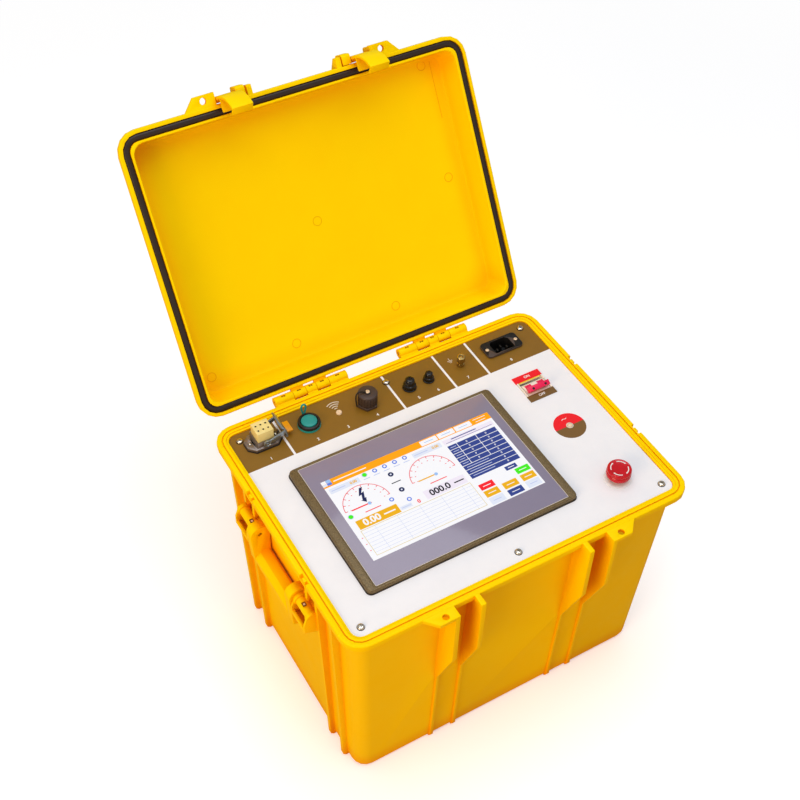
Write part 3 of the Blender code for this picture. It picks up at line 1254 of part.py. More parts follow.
def make_output() -> None:
    """High-voltage output connector: flanged housing, insert, locking lever and tab."""
    x, y = OUTPUT_CENTRE
    seat = PANEL_TOP + GAP
    flange_top = seat + OUTPUT_FLANGE_HEIGHT
    neck_top = seat + OUTPUT_NECK_HEIGHT
    back = PANEL_BOTTOM - OUTPUT_BACK_DEPTH
    half_x = OUTPUT_FLANGE[0] / 2
    half_y = OUTPUT_FLANGE[1] / 2
    plan = []
    for sx, sy, first in ((1, -1, "y"), (1, 1, "x"), (-1, 1, "y"), (-1, -1, "x")):
        along_x = (x + sx * (half_x - OUTPUT_CHAMFER), y + sy * half_y)
        along_y = (x + sx * half_x, y + sy * (half_y - OUTPUT_CHAMFER))
        plan += [along_x, along_y] if first == "y" else [along_y, along_x]
    housing = prism("output_housing", plan, "Z", seat, flange_top)
    join(housing, [block("neck", OUTPUT_CENTRE, OUTPUT_NECK, back, neck_top)])
    axis_z = flange_top + GAP + LEVER_HUB
    stud_reach = OUTPUT_NECK[1] / 2 + GAP + LEVER_ARM_THICK + EDGE
    join(housing, [rod("stud", (x, axis_z), LEVER_STUD, y - stud_reach, y + stud_reach, "Y")])
    pocket = (OUTPUT_INSERT[0] + 2 * GAP, OUTPUT_INSERT[1] + 2 * GAP)
    cutters = [block("pocket", OUTPUT_CENTRE, pocket, flange_top, neck_top + OVERLAP)]
    for side in (-1, 1):
        place = (x + side * OUTPUT_SCREW_SPACING / 2, y)
        cutters.append(rod("hole", place, SCREW_HOLE, seat - OVERLAP, flange_top + OVERLAP))
    cut(housing, cutters)
    dress(housing, "zinc")

    insert_top = seat + OUTPUT_INSERT_HEIGHT
    insert = block("output_insert", OUTPUT_CENTRE, OUTPUT_INSERT, flange_top + GAP, insert_top)
    sockets = []
    for column in (-1, 0, 1):
        for row in (-0.5, 0.5):
            place = (x + column * OUTPUT_HOLE_PITCH[0], y + row * OUTPUT_HOLE_PITCH[1])
            sockets.append(block("socket", place, (2 * OUTPUT_HOLE, 2 * OUTPUT_HOLE),
                                 neck_top, insert_top + OVERLAP))
    cut(insert, sockets)
    dress(insert, "cream_plastic")

    make_lever(x, y, axis_z)


def make_lever(x: float, y: float, axis_z: float) -> None:
    """The bail lever round the output connector, and its finger tab."""
    axis = (x, axis_z)
    inner_y = OUTPUT_NECK[1] / 2 + GAP
    outer_y = inner_y + LEVER_ARM_THICK
    outer_radius = LEVER_RADIUS + LEVER_BAR
    bar_outline = arc(axis, outer_radius, LEVER_ARC_START, LEVER_ARC_END, 6)
    bar_outline += arc(axis, LEVER_RADIUS, LEVER_ARC_END, LEVER_ARC_START, 6)
    lever = prism("output_lever", bar_outline, "Y", y - outer_y, y + outer_y)
    arm_outline = arc(axis, LEVER_HUB, LEVER_HUB_START, LEVER_HUB_END, 8)
    middle = (LEVER_ARC_START + LEVER_ARC_END) / 2
    reach = LEVER_RADIUS + LEVER_BAR / 2
    normal = (-math.sin(middle), math.cos(middle))
    end_point = (axis[0] + reach * math.cos(middle), axis[1] + reach * math.sin(middle))
    arm_outline += [
        (end_point[0] - LEVER_ARM_HALF * normal[0], end_point[1] - LEVER_ARM_HALF * normal[1]),
        (end_point[0] + LEVER_ARM_HALF * normal[0], end_point[1] + LEVER_ARM_HALF * normal[1]),
    ]
    arms = []
    for side in (-1, 1):
        low, high = sorted((y + side * inner_y, y + side * outer_y))
        arms.append(prism("arm", arm_outline, "Y", low, high))
    join(lever, arms)
    cut(lever, [rod("bore", axis, LEVER_STUD + GAP, y - outer_y - OVERLAP, y + outer_y + OVERLAP, "Y")])
    place = Vector((axis[0], y, axis[1]))
    set_origin(lever, place)
    dress(lever, "lever_steel")

    tab_low = axis_z - TAB_DROP
    tab_x = x + outer_radius + GAP
    tab = box("output_tab", (tab_x, tab_x + TAB_SIZE[0]), (y - TAB_SIZE[1] / 2, y + TAB_SIZE[1] / 2),
              (tab_low, tab_low + TAB_SIZE[2]))
    set_origin(tab, place)
    dress(tab, "amber_plastic")


def ribbon(name: str, path: list, width_axis: str, middle: float, width: float, thick: float):
    """A flat strap that follows a path in a plane, as one solid."""
    count = len(path)
    outer = []
    inner = []
    for index, (u, v) in enumerate(path):
        before = path[max(index - 1, 0)]
        after = path[min(index + 1, count - 1)]
        du = after[0] - before[0]
        dv = after[1] - before[1]
        length = math.hypot(du, dv)
        outer.append((u - dv / length * thick / 2, v + du / length * thick / 2))
        inner.append((u + dv / length * thick / 2, v - du / length * thick / 2))
    outline = outer + list(reversed(inner))
    return prism(name, outline, width_axis, middle - width / 2, middle + width / 2)


def make_usb() -> None:
    """Covered data socket: base ring with its collar, pull-off cap and strap."""
    seat = PANEL_TOP + GAP
    ring_top = seat + USB_RING_HEIGHT
    depth = PANEL_BOTTOM - USB_BODY_DEPTH
    profile = [
        (USB_BODY_RADIUS, depth), (USB_BODY_RADIUS, seat),
        (USB_RING_RADIUS, seat), (USB_RING_RADIUS, ring_top),
    ]
    socket = turned("usb_socket", profile, USB_CENTRE)
    port = (2 * USB_CAP_PLUG[0] + 4 * GAP, 2 * USB_CAP_PLUG[1] + 4 * GAP)
    cut(socket, [block("port", USB_CENTRE, port, PANEL_BOTTOM - USB_BODY_DEPTH / 2, ring_top + OVERLAP)])
    dress(socket, "teal_rubber")

    collar_low = ring_top + GAP
    collar_top = collar_low + USB_COLLAR_HEIGHT
    collar = [
        (USB_COLLAR_RADIUS, collar_low), (USB_COLLAR_RADIUS, collar_top - EDGE),
        (USB_COLLAR_RADIUS - EDGE, collar_top),
        (USB_COLLAR_INNER, collar_top), (USB_COLLAR_INNER, collar_low),
    ]
    dress(turned("usb_collar", collar, USB_CENTRE, closed=True), "black_plastic")

    cap_top = collar_low + USB_CAP_HEIGHT
    cap = turned("usb_cap", [
        (USB_CAP_RADIUS, collar_low), (USB_CAP_RADIUS, cap_top - EDGE), (USB_CAP_RADIUS - 2 * EDGE, cap_top),
    ], USB_CENTRE)
    plug = (2 * USB_CAP_PLUG[0], 2 * USB_CAP_PLUG[1])
    join(cap, [block("plug", USB_CENTRE, plug, PANEL_BOTTOM, collar_low + EDGE)])
    set_origin(cap, Vector((*USB_CENTRE, collar_low)))
    dress(cap, "teal_rubber")

    half_width, height = STRAP_LOOP
    back_y = USB_CENTRE[1] + USB_COLLAR_RADIUS + GAP + STRAP_WIDTH / 2
    foot_z = ring_top + GAP
    foot = STRAP_LOOP[0] / 5
    path = [(USB_CENTRE[0] - foot, foot_z), (USB_CENTRE[0] - half_width / 2, foot_z + height / 2)]
    path += arc((USB_CENTRE[0], foot_z + height), half_width / 2, math.pi, 0.0, 6)
    path += [(USB_CENTRE[0] + half_width / 2, foot_z + height / 2), (USB_CENTRE[0] + foot, foot_z)]
    strap = ribbon("usb_strap", path, "Y", back_y - GAP, STRAP_WIDTH - 2 * GAP, STRAP_THICK)
    dress(strap, "teal_rubber")


def make_antenna() -> None:
    """Small flush antenna port."""
    x, y = ANTENNA_CENTRE
    seat = PANEL_TOP + GAP
    profile = [
        (ANTENNA_RADIUS, PANEL_BOTTOM - ANTENNA_DEPTH), (ANTENNA_RADIUS, seat),
        (ANTENNA_FLANGE, seat), (ANTENNA_FLANGE, seat + ANTENNA_RISE - EDGE),
        (ANTENNA_RADIUS, seat + ANTENNA_RISE),
    ]
    dress(turned("antenna_port", profile, (x, y), sides=SMALL_SIDES), "brass")


def make_lan() -> None:
    """Covered network socket: hexagonal base, ribbed cap and strap."""
    x, y = LAN_CENTRE
    seat = PANEL_TOP + GAP
    hex_top = seat + LAN_HEX_HEIGHT
    neck_top = seat + LAN_NECK_HEIGHT
    base = rod("lan_socket", LAN_CENTRE, LAN_HEX_RADIUS, seat, hex_top, sides=6)
    join(base, [rod("neck", LAN_CENTRE, LAN_NECK_RADIUS, PANEL_BOTTOM - USB_BODY_DEPTH, neck_top,
                    sides=ROUND_SIDES)])
    dress(base, "black_plastic")

    cap_low = hex_top + GAP
    cap_top = cap_low + LAN_CAP_HEIGHT
    rings = []
    for radius, level in ((LAN_CAP_RADIUS, cap_low), (LAN_CAP_RADIUS, cap_top - EDGE),
                          (LAN_CAP_RADIUS - EDGE, cap_top)):
        ring = []
        for step in range(4 * LAN_CAP_RIBS):
            angle = 2 * math.pi * step / (4 * LAN_CAP_RIBS)
            reach = radius - (LAN_CAP_RIB_DEPTH if step % 4 >= 2 else 0.0)
            ring.append((x + reach * math.cos(angle), y + reach * math.sin(angle), level))
        rings.append(ring)
    cap = loft("lan_cap", rings)
    bore_radius = LAN_CAP_RADIUS - LAN_CAP_WALL
    bore = rod("bore", LAN_CENTRE, bore_radius, cap_low - OVERLAP, neck_top + GAP, sides=ROUND_SIDES)
    screw_bore = rod("bore", LAN_CENTRE, SCREW_SHANK + GAP, neck_top - OVERLAP, cap_top + OVERLAP)
    cut(cap, [bore, screw_bore])
    set_origin(cap, Vector((x, y, cap_low)))
    dress(cap, "black_plastic")

    strap_low = cap_top + GAP
    side_x = x - LAN_CAP_RADIUS - LAN_STRAP_RISE
    path = [(x + LAN_SCREW_RADIUS, strap_low + LAN_STRAP_THICK / 2),
            (x - LAN_CAP_RADIUS / 2, strap_low + LAN_STRAP_THICK / 2 + GAP)]
    path += [(x - LAN_CAP_RADIUS, strap_low + LAN_STRAP_RISE), (side_x, strap_low + LAN_STRAP_RISE / 4),
             (side_x, seat + LAN_HEX_HEIGHT + LAN_STRAP_RISE), (side_x, seat + LAN_STRAP_THICK)]
    strap = ribbon("lan_strap", path, "Y", y, LAN_STRAP_WIDTH, LAN_STRAP_THICK)
    cut(strap, [rod("hole", LAN_CENTRE, SCREW_SHANK + GAP, cap_top - OVERLAP, strap_low + LAN_STRAP_RISE)])
    dress(strap, "black_plastic")


def make_terminals() -> None:
    """Two insulated measuring terminals, each a post with a washer and a turning knob."""
    seat = PANEL_TOP + GAP
    for name, (place, radius, height) in TERMINALS.items():
        core = radius * TERMINAL_CORE_SHARE
        washer_top = seat + TERMINAL_WASHER
        post = turned(f"{name}_post", [
            (TERMINAL_STEM, PANEL_BOTTOM - TERMINAL_STEM_DEPTH), (TERMINAL_STEM, seat),
            (radius, seat), (radius, washer_top),
            (core, washer_top), (core, seat + height - 2 * TERMINAL_WASHER),
        ], place)
        dress(post, "black_plastic")
        knob_low = washer_top + GAP
        top = seat + height
        knob = turned(f"{name}_knob", [
            (core + GAP, knob_low), (radius - EDGE, knob_low), (radius - EDGE, knob_low + height * KNOB_GRIP),
            (radius * KNOB_SHOULDER[0], knob_low + height * KNOB_SHOULDER[1]),
            (radius * KNOB_CROWN[0], seat + height * KNOB_CROWN[1]),
            (radius * KNOB_TOP, top), (core + GAP, top),
        ], place, closed=True)
        set_origin(knob, Vector((*place, knob_low)))
        dress(knob, "black_plastic")


def make_ground() -> None:
    """Brass ground post with its nut."""
    seat = PANEL_TOP + GAP
    post = turned("ground_post", [
        (GROUND_STEM, PANEL_BOTTOM - TERMINAL_STEM_DEPTH), (GROUND_STEM, seat),
        (GROUND_FOOT_RADIUS, seat), (GROUND_FOOT_RADIUS, seat + GROUND_FOOT_HEIGHT),
        (GROUND_STEM, seat + GROUND_FOOT_HEIGHT),
        (GROUND_STEM, seat + GROUND_NUT_BASE + GROUND_NUT_HEIGHT - EDGE),
    ], GROUND_CENTRE)
    dress(post, "brass")
    low = seat + GROUND_FOOT_HEIGHT + GAP
    high = seat + GROUND_NUT_BASE + GROUND_NUT_HEIGHT
    nut = turned("ground_nut", [
        (GROUND_STEM + GAP, low), (GROUND_FOOT_RADIUS - EDGE, low),
        (GROUND_FOOT_RADIUS - EDGE, seat + GROUND_NUT_BASE), (GROUND_NUT_RADIUS, seat + GROUND_NUT_BASE),
        (GROUND_NUT_RADIUS, high - EDGE), (GROUND_NUT_RADIUS - EDGE, high), (GROUND_STEM + GAP, high),
    ], GROUND_CENTRE, closed=True)
    set_origin(nut, Vector((*GROUND_CENTRE, low)))
    dress(nut, "brass")


def inlet_plan(margin: float) -> list:
    """Plan of the inlet's socket, with its two chamfered corners, grown by a margin."""
    x, y = INLET_CENTRE
    half_x = INLET_OPENING[0] / 2 + margin
    half_y = INLET_OPENING[1] / 2 + margin
    chamfer = INLET_CHAMFER
    return [
        (x - half_x, y - half_y), (x + half_x, y - half_y),
        (x + half_x, y + half_y - chamfer), (x + half_x - chamfer, y + half_y),
        (x - half_x + chamfer, y + half_y), (x - half_x, y + half_y - chamfer),
    ]


def make_inlet() -> None:
    """Mains inlet: flanged body with a deep socket and three pins moulded in."""
    x, y = INLET_CENTRE
    seat = PANEL_TOP + GAP
    top = seat + INLET_RISE
    socket_floor = top - INLET_SOCKET_DEPTH
    outline = [(x + u, y + v) for u, v in rounded(INLET_FLANGE[0], INLET_FLANGE[1], INLET_CORNER)]
    body = prism("inlet_body", outline, "Z", seat, top)
    join(body, [prism("well", inlet_plan(INLET_WALL), "Z", socket_floor - INLET_WALL * 2, seat + EDGE)])
    cutters = [prism("socket", inlet_plan(0.0), "Z", socket_floor, top + OVERLAP)]
    screw_places = [(x + side * INLET_SCREW_SPACING / 2, y) for side in (-1, 1)]
    cutters += [rod("hole", place, SCREW_HOLE, seat - OVERLAP, top + OVERLAP) for place in screw_places]
    spread_x, spread_y = INLET_PIN_SPREAD
    pin_places = [(x - spread_x, y - spread_y), (x + spread_x, y - spread_y), (x, y + spread_y)]
    cut(body, cutters)
    pin_low = socket_floor - INLET_WALL * 4
    pin_top = socket_floor + INLET_PIN_LENGTH
    join(body, [block("pin", place, INLET_PIN, pin_low, pin_top) for place in pin_places])
    dress(body, "inlet_plastic")


def make_breaker() -> None:
    """Two-pole circuit breaker: body in the panel's window and tied toggle."""
    x, y = BREAKER_CENTRE
    face = PANEL_TOP + BREAKER_FACE_RISE
    nose = (BREAKER_WINDOW[0] + 2 * BREAKER_WALL, BREAKER_WINDOW[1] + 2 * BREAKER_WALL)
    shoulder = PANEL_BOTTOM - GAP
    body = block("breaker_body", BREAKER_CENTRE, BREAKER_BACK, PANEL_BOTTOM - BREAKER_BODY_DEPTH, shoulder)
    join(body, [block("nose", BREAKER_CENTRE, nose, shoulder - OVERLAP, face)])
    axis = (y, PANEL_TOP - TOGGLE_PIVOT_DROP)
    trough_low = axis[1] - TOGGLE_HUB - GAP
    cut(body, [block("trough", BREAKER_CENTRE, BREAKER_WINDOW, trough_low, face + OVERLAP)])
    dress(body, "breaker_white")

    hub_half = BREAKER_WINDOW[0] / 2 - GAP
    toggle = rod("breaker_toggle", axis, TOGGLE_HUB, x - hub_half, x + hub_half, "X", ROUND_SIDES)
    stalk_x, stalk_y = TOGGLE_STALK
    stalk_top = axis[1] + TOGGLE_LENGTH - TOGGLE_BAR[2] / 2
    pole_pitch = BREAKER_WINDOW[0] / 4
    parts = []
    for side in (-1, 1):
        middle = (x + side * pole_pitch, y)
        parts.append(block("stalk", middle, (stalk_x, stalk_y), axis[1], stalk_top))
    bar_low = axis[1] + TOGGLE_LENGTH - TOGGLE_BAR[2]
    parts.append(block("bar", (x, y), (TOGGLE_BAR[0], TOGGLE_BAR[1]), bar_low, bar_low + TOGGLE_BAR[2]))
    join(toggle, parts)
    place = Vector((x, axis[0], axis[1]))
    set_origin(toggle, place)
    toggle.rotation_euler = (TOGGLE_TILT, 0.0, 0.0)
    dress(toggle, "breaker_pink")


def make_lamp() -> None:
    """Small indicator lamp through the panel."""
    low = PANEL_TOP + GAP
    lamp = turned("indicator_lamp", [
        (LAMP_RADIUS, PANEL_BOTTOM - LAMP_DEPTH), (LAMP_RADIUS, low + LAMP_RISE - EDGE / 2),
        (LAMP_RADIUS * LAMP_LENS, low + LAMP_RISE),
    ], LAMP_CENTRE, sides=SMALL_SIDES)
    dress(lamp, "lamp_beige")


def make_stop() -> None:
    """Emergency stop: collar ring, guide, sliding stem, mushroom head and contact block."""
    seat = PANEL_TOP + GAP
    guide_low = PANEL_BOTTOM - STOP_STEM_DEPTH
    collar = turned("stop_collar", [
        (STOP_STEM + GAP, guide_low), (STOP_STEM_GUIDE, guide_low), (STOP_STEM_GUIDE, seat),
        (STOP_COLLAR, seat), (STOP_COLLAR, seat + STOP_COLLAR_HEIGHT),
        (STOP_STEM + GAP, seat + STOP_COLLAR_HEIGHT),
    ], STOP_CENTRE, closed=True)
    dress(collar, "white_panel")

    head_low = seat + STOP_HEAD_FOOT
    shoulder = head_low - GAP
    stem = turned("stop_stem", [
        (STOP_STEM, guide_low), (STOP_STEM, seat + STOP_COLLAR_HEIGHT + STOP_TRAVEL + EDGE),
        (STOP_NECK, seat + STOP_COLLAR_HEIGHT + STOP_TRAVEL + EDGE), (STOP_NECK, shoulder),
        (STOP_STEM, shoulder), (STOP_STEM, head_low + STOP_HEAD_HEIGHT / 2),
    ], STOP_CENTRE)
    set_origin(stem, Vector((*STOP_CENTRE, seat)))
    dress(stem, "stop_red")

    head_top = head_low + STOP_HEAD_HEIGHT
    skirt = STOP_HEAD - EDGE
    profile = [(skirt - EDGE, head_low), (STOP_HEAD, head_low + EDGE)]
    profile += [(STOP_HEAD * wide, head_low + STOP_HEAD_HEIGHT * rise) for wide, rise in STOP_HEAD_PROFILE]
    profile += [(STOP_HEAD * wide, head_top - STOP_HEAD_DOME * fall) for wide, fall in STOP_HEAD_DISH]
    head = turned("stop_head", profile, STOP_CENTRE)
    cut(head, [rod("bore", STOP_CENTRE, STOP_STEM + GAP, head_low - OVERLAP,
                   head_low + STOP_HEAD_HEIGHT / 2 + GAP, sides=ROUND_SIDES)])
    set_origin(head, Vector((*STOP_CENTRE, head_low)))
    dress(head, "stop_red")

    block_top = guide_low - STOP_TRAVEL - GAP
    contact = block("stop_contact_block", STOP_CENTRE, (STOP_BLOCK[0], STOP_BLOCK[1]),
                    block_top - STOP_BLOCK[2], PANEL_BOTTOM - GAP)
    well_radius = STOP_STEM_GUIDE + GAP
    cut(contact, [rod("well", STOP_CENTRE, well_radius, block_top, PANEL_BOTTOM, sides=ROUND_SIDES)])
    dress(contact, "black_plastic")


def make_chassis() -> None:
    """Chassis plate with its pressed feet and standoffs, inside the base."""
    plate = block("chassis_plate", (0.0, 0.0), (2 * CHASSIS_X, 2 * CHASSIS_Y), CHASSIS_BOTTOM, CHASSIS_TOP)
    pillars = []
    for column in (-1, 1):
        for row in (-1, 1):
            place = (column * (CHASSIS_X - CHASSIS_FOOT_INSET), row * (CHASSIS_Y - CHASSIS_FOOT_INSET))
            pillars.append(rod("foot", place, CHASSIS_FOOT_RADIUS, FLOOR + GAP, CHASSIS_BOTTOM + EDGE))
            place = (BOARD_CENTRE[0] + column * (BOARD_SIZE[0] / 2 - STANDOFF_INSET),
                     BOARD_CENTRE[1] + row * (BOARD_SIZE[1] / 2 - STANDOFF_INSET))
            pillars.append(rod("standoff", place, STANDOFF_RADIUS, CHASSIS_TOP - EDGE,
                               CHASSIS_TOP + STANDOFF_HEIGHT, sides=6))
    join(plate, pillars)
    dress(plate, "sheet_steel")


def make_regulator() -> None:
    """Voltage regulator: toroidal winding, core post with its plate, and the wiper arm."""
    low = CHASSIS_TOP + GAP
    top = low + TOROID_HEIGHT
    bevel = TOROID_BEVEL
    toroid = turned("regulator_toroid", [
        (TOROID_INNER, low + bevel), (TOROID_INNER + bevel, low), (TOROID_OUTER - bevel, low),
        (TOROID_OUTER, low + bevel), (TOROID_OUTER, top - bevel), (TOROID_OUTER - bevel, top),
        (TOROID_INNER + bevel, top), (TOROID_INNER, top - bevel),
    ], TOROID_CENTRE, sides=ROUND_SIDES, closed=True)
    dress(toroid, "copper")
    plate_low = top + GAP
    plate_top = plate_low + REGULATOR_PLATE
    post = turned("regulator_post", [
        (TOROID_INNER - GAP, low), (TOROID_INNER - GAP, top), (TOROID_INNER + bevel, plate_low),
        (TOROID_INNER + bevel, plate_top), (REGULATOR_SHAFT, plate_top),
        (REGULATOR_SHAFT, plate_top + REGULATOR_ARM[2] + GAP + EDGE),
    ], TOROID_CENTRE)
    dress(post, "sheet_steel")
    arm_low = plate_top + GAP
    arm = box("regulator_wiper",
              (TOROID_CENTRE[0] - REGULATOR_ARM[1], TOROID_CENTRE[0] + REGULATOR_ARM[0]),
              (TOROID_CENTRE[1] - REGULATOR_ARM[1] / 2, TOROID_CENTRE[1] + REGULATOR_ARM[1] / 2),
              (arm_low, arm_low + REGULATOR_ARM[2]))
    brush_x = TOROID_CENTRE[0] + REGULATOR_ARM[0] - REGULATOR_ARM[1] / 2
    join(arm, [block("brush", (brush_x, TOROID_CENTRE[1]), (REGULATOR_ARM[1] / 2, REGULATOR_ARM[1] / 2),
                     top + GAP, arm_low + EDGE)])
    cut(arm, [rod("bore", TOROID_CENTRE, REGULATOR_SHAFT + GAP, arm_low - OVERLAP,
                  arm_low + REGULATOR_ARM[2] + OVERLAP, sides=ROUND_SIDES)])
    dress(arm, "sheet_steel")


def make_transformer() -> None:
    """High-voltage transformer: laminated core with two windows, and its cast coil."""
    x, y = CORE_CENTRE
    low = CHASSIS_TOP + GAP
    width, depth, height = CORE_SIZE
    core = block("transformer_core", CORE_CENTRE, CORE_SIZE, low, low + height)
    window_width = (width - 4 * CORE_LIMB) / 2
    windows = []
    for side in (-1, 1):
        middle = x + side * (CORE_LIMB + window_width / 2)
        windows.append(box("window", (middle - window_width / 2, middle + window_width / 2),
                           (y - depth, y + depth), (low + CORE_LIMB, low + height - CORE_LIMB)))
    cut(core, windows)
    dress(core, "lamination")
    coil_low = low + CORE_LIMB + COIL_CLEARANCE / 2
    coil_top = low + height - CORE_LIMB - COIL_CLEARANCE / 2
    coil = block("transformer_coil", CORE_CENTRE, (2 * CORE_LIMB + 2 * COIL_THICK, depth + 2 * COIL_THICK),
                 coil_low, coil_top)
    cut(coil, [block("bore", CORE_CENTRE, (2 * CORE_LIMB + COIL_CLEARANCE, depth + COIL_CLEARANCE),
                     coil_low - OVERLAP, coil_top + OVERLAP)])
    dress(coil, "epoxy")
    divider = turned("voltage_divider", [
        (DIVIDER_FOOT, low), (DIVIDER_FOOT, low + DIVIDER_RADIUS / 2),
        (DIVIDER_RADIUS, low + DIVIDER_RADIUS / 2), (DIVIDER_RADIUS, low + DIVIDER_HEIGHT - EDGE),
        (DIVIDER_RADIUS - EDGE, low + DIVIDER_HEIGHT),
    ], DIVIDER_CENTRE)
    dress(divider, "resistor_blue")


def make_electronics() -> None:
    """Control board with its soldered relays, and the power supply."""
    x, y = BOARD_CENTRE
    low = CHASSIS_TOP + GAP
    board_low = low + STANDOFF_HEIGHT
    board_top = board_low + BOARD_SIZE[2]
    board = block("control_board", BOARD_CENTRE, BOARD_SIZE, board_low, board_top)
    relays = []
    for index in range(RELAY_COUNT):
        place = (x + (index - (RELAY_COUNT - 1) / 2) * RELAY_PITCH, y)
        relays.append(block("relay", place, RELAY_SIZE, board_low + EDGE, board_top + RELAY_SIZE[2]))
    join(board, relays)
    dress(board, "board_green")
    supply = block("power_supply", SUPPLY_CENTRE, SUPPLY_SIZE, low, low + SUPPLY_SIZE[2])
    dress(supply, "sheet_steel")


def main() -> None:
    """Build the tester, piece by piece."""
    clear_scene()
    make_base()
    make_hinge_pins()
    make_handles()
    lid_holder = empty_at("lid_axis", HINGE_AXIS, -LID_OPEN_ANGLE)
    make_lid(lid_holder)
    make_latches(lid_holder)
    make_panel()
    make_touch_panel()
    make_output()
    make_usb()
    make_antenna()
    make_lan()
    make_terminals()
    make_ground()
    make_inlet()
    make_breaker()
    make_lamp()
    make_stop()
    make_chassis()
    make_regulator()
    make_transformer()
    make_electronics()


main()
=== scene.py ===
"""Dressed scene of a high-voltage withstand tester in an open moulded carrying case.

Metres, +Z up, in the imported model's own frame. Pieces are named for what they are, and each
one rides on the body that carries it.
"""

import logging
import math
from contextlib import contextmanager
from dataclasses import dataclass
from enum import Enum
from typing import Callable, Iterator

import bmesh
import bpy
from mathutils import Matrix, Vector


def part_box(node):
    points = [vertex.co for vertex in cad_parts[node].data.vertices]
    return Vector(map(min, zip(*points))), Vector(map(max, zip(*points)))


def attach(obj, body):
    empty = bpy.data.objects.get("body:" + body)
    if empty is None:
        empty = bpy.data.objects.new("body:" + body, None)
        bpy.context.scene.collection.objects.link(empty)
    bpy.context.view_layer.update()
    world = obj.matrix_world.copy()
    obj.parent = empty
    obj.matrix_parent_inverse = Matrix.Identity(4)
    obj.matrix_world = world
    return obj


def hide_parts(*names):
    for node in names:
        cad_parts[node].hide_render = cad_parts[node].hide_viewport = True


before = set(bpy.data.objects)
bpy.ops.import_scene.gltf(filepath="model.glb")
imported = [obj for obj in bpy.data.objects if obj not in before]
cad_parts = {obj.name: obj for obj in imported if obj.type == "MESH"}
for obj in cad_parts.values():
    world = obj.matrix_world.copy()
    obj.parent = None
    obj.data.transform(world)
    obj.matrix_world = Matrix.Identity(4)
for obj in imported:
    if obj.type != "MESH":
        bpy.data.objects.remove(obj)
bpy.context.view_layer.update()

LOG = logging.getLogger("tester")
MM = 0.001
WELD = 1e-5             # points nearer than this are one point
FLAT = math.radians(0.6)        # faces that bend less than this are one flat face
SMOOTH = math.radians(34.0)     # edges that bend less than this are shaded smooth
SHARP = math.radians(35.0)      # edges that bend more than this are rounded
LEVEL = 1e-6            # tolerance on a level or a size
FILM = 0.00006          # thickness of a printed film
SETTLE = 0.00002        # air under a film
BOLD = 0.02             # how much bolder than the plain face printed figures are
CLOUD_SPAN = (0.3, 0.7)     # range of the drift noise that moves the roughness
DRIFT_SPAN = (0.35, 0.7)    # range of the drift noise that moves the colour
COAT_ROUGHNESS = 0.08


class Body(str, Enum):
    """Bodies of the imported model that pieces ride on."""

    CASE = "case"
    LID = "lid"
    LATCH_LEFT = "latch_left"
    LATCH_RIGHT = "latch_right"
    HANDLE_LEFT = "handle_left"
    HANDLE_RIGHT = "handle_right"
    LEVER = "output_lever"
    USB_CAP = "usb_cap"
    LAN_CAP = "lan_cap"
    KNOB_H = "terminal_h_knob"
    KNOB_L = "terminal_l_knob"
    NUT = "ground_nut"
    TOGGLE = "breaker_toggle"
    STEM = "stop_stem"
    HEAD = "stop_head"


class Shape(Enum):
    """What an edit-mode selection picks."""

    VERT = "VERT"
    EDGE = "EDGE"
    FACE = "FACE"


def srgb(code: str) -> tuple[float, float, float, float]:
    """Turn an sRGB hex colour into a linear one.

    Args:
        code: six hex digits.

    Returns:
        Red, green, blue and alpha.
    """
    values = [int(code[start:start + 2], 16) / 255 for start in (0, 2, 4)]
    curve = [v / 12.92 if v <= 0.04045 else ((v + 0.055) / 1.055) ** 2.4 for v in values]
    return (curve[0], curve[1], curve[2], 1.0)


def add_node(tree: bpy.types.NodeTree, kind: str, values: dict | None = None, links: dict | None = None,
             **settings: object) -> bpy.types.Node:
    """Add a node with its settings, socket values and incoming links.

    Args:
        tree: the material's node tree.
        kind: the node's type name.
        values: socket name or number to value.
        links: socket name or number to the socket that feeds it.
        settings: properties of the node itself.

    Returns:
        The new node.
    """
    made = tree.nodes.new(kind)
    for name, value in settings.items():
        setattr(made, name, value)
    for socket, value in (values or {}).items():
        made.inputs[socket].default_value = value
    for socket, source in (links or {}).items():
        tree.links.new(source, made.inputs[socket])
    return made


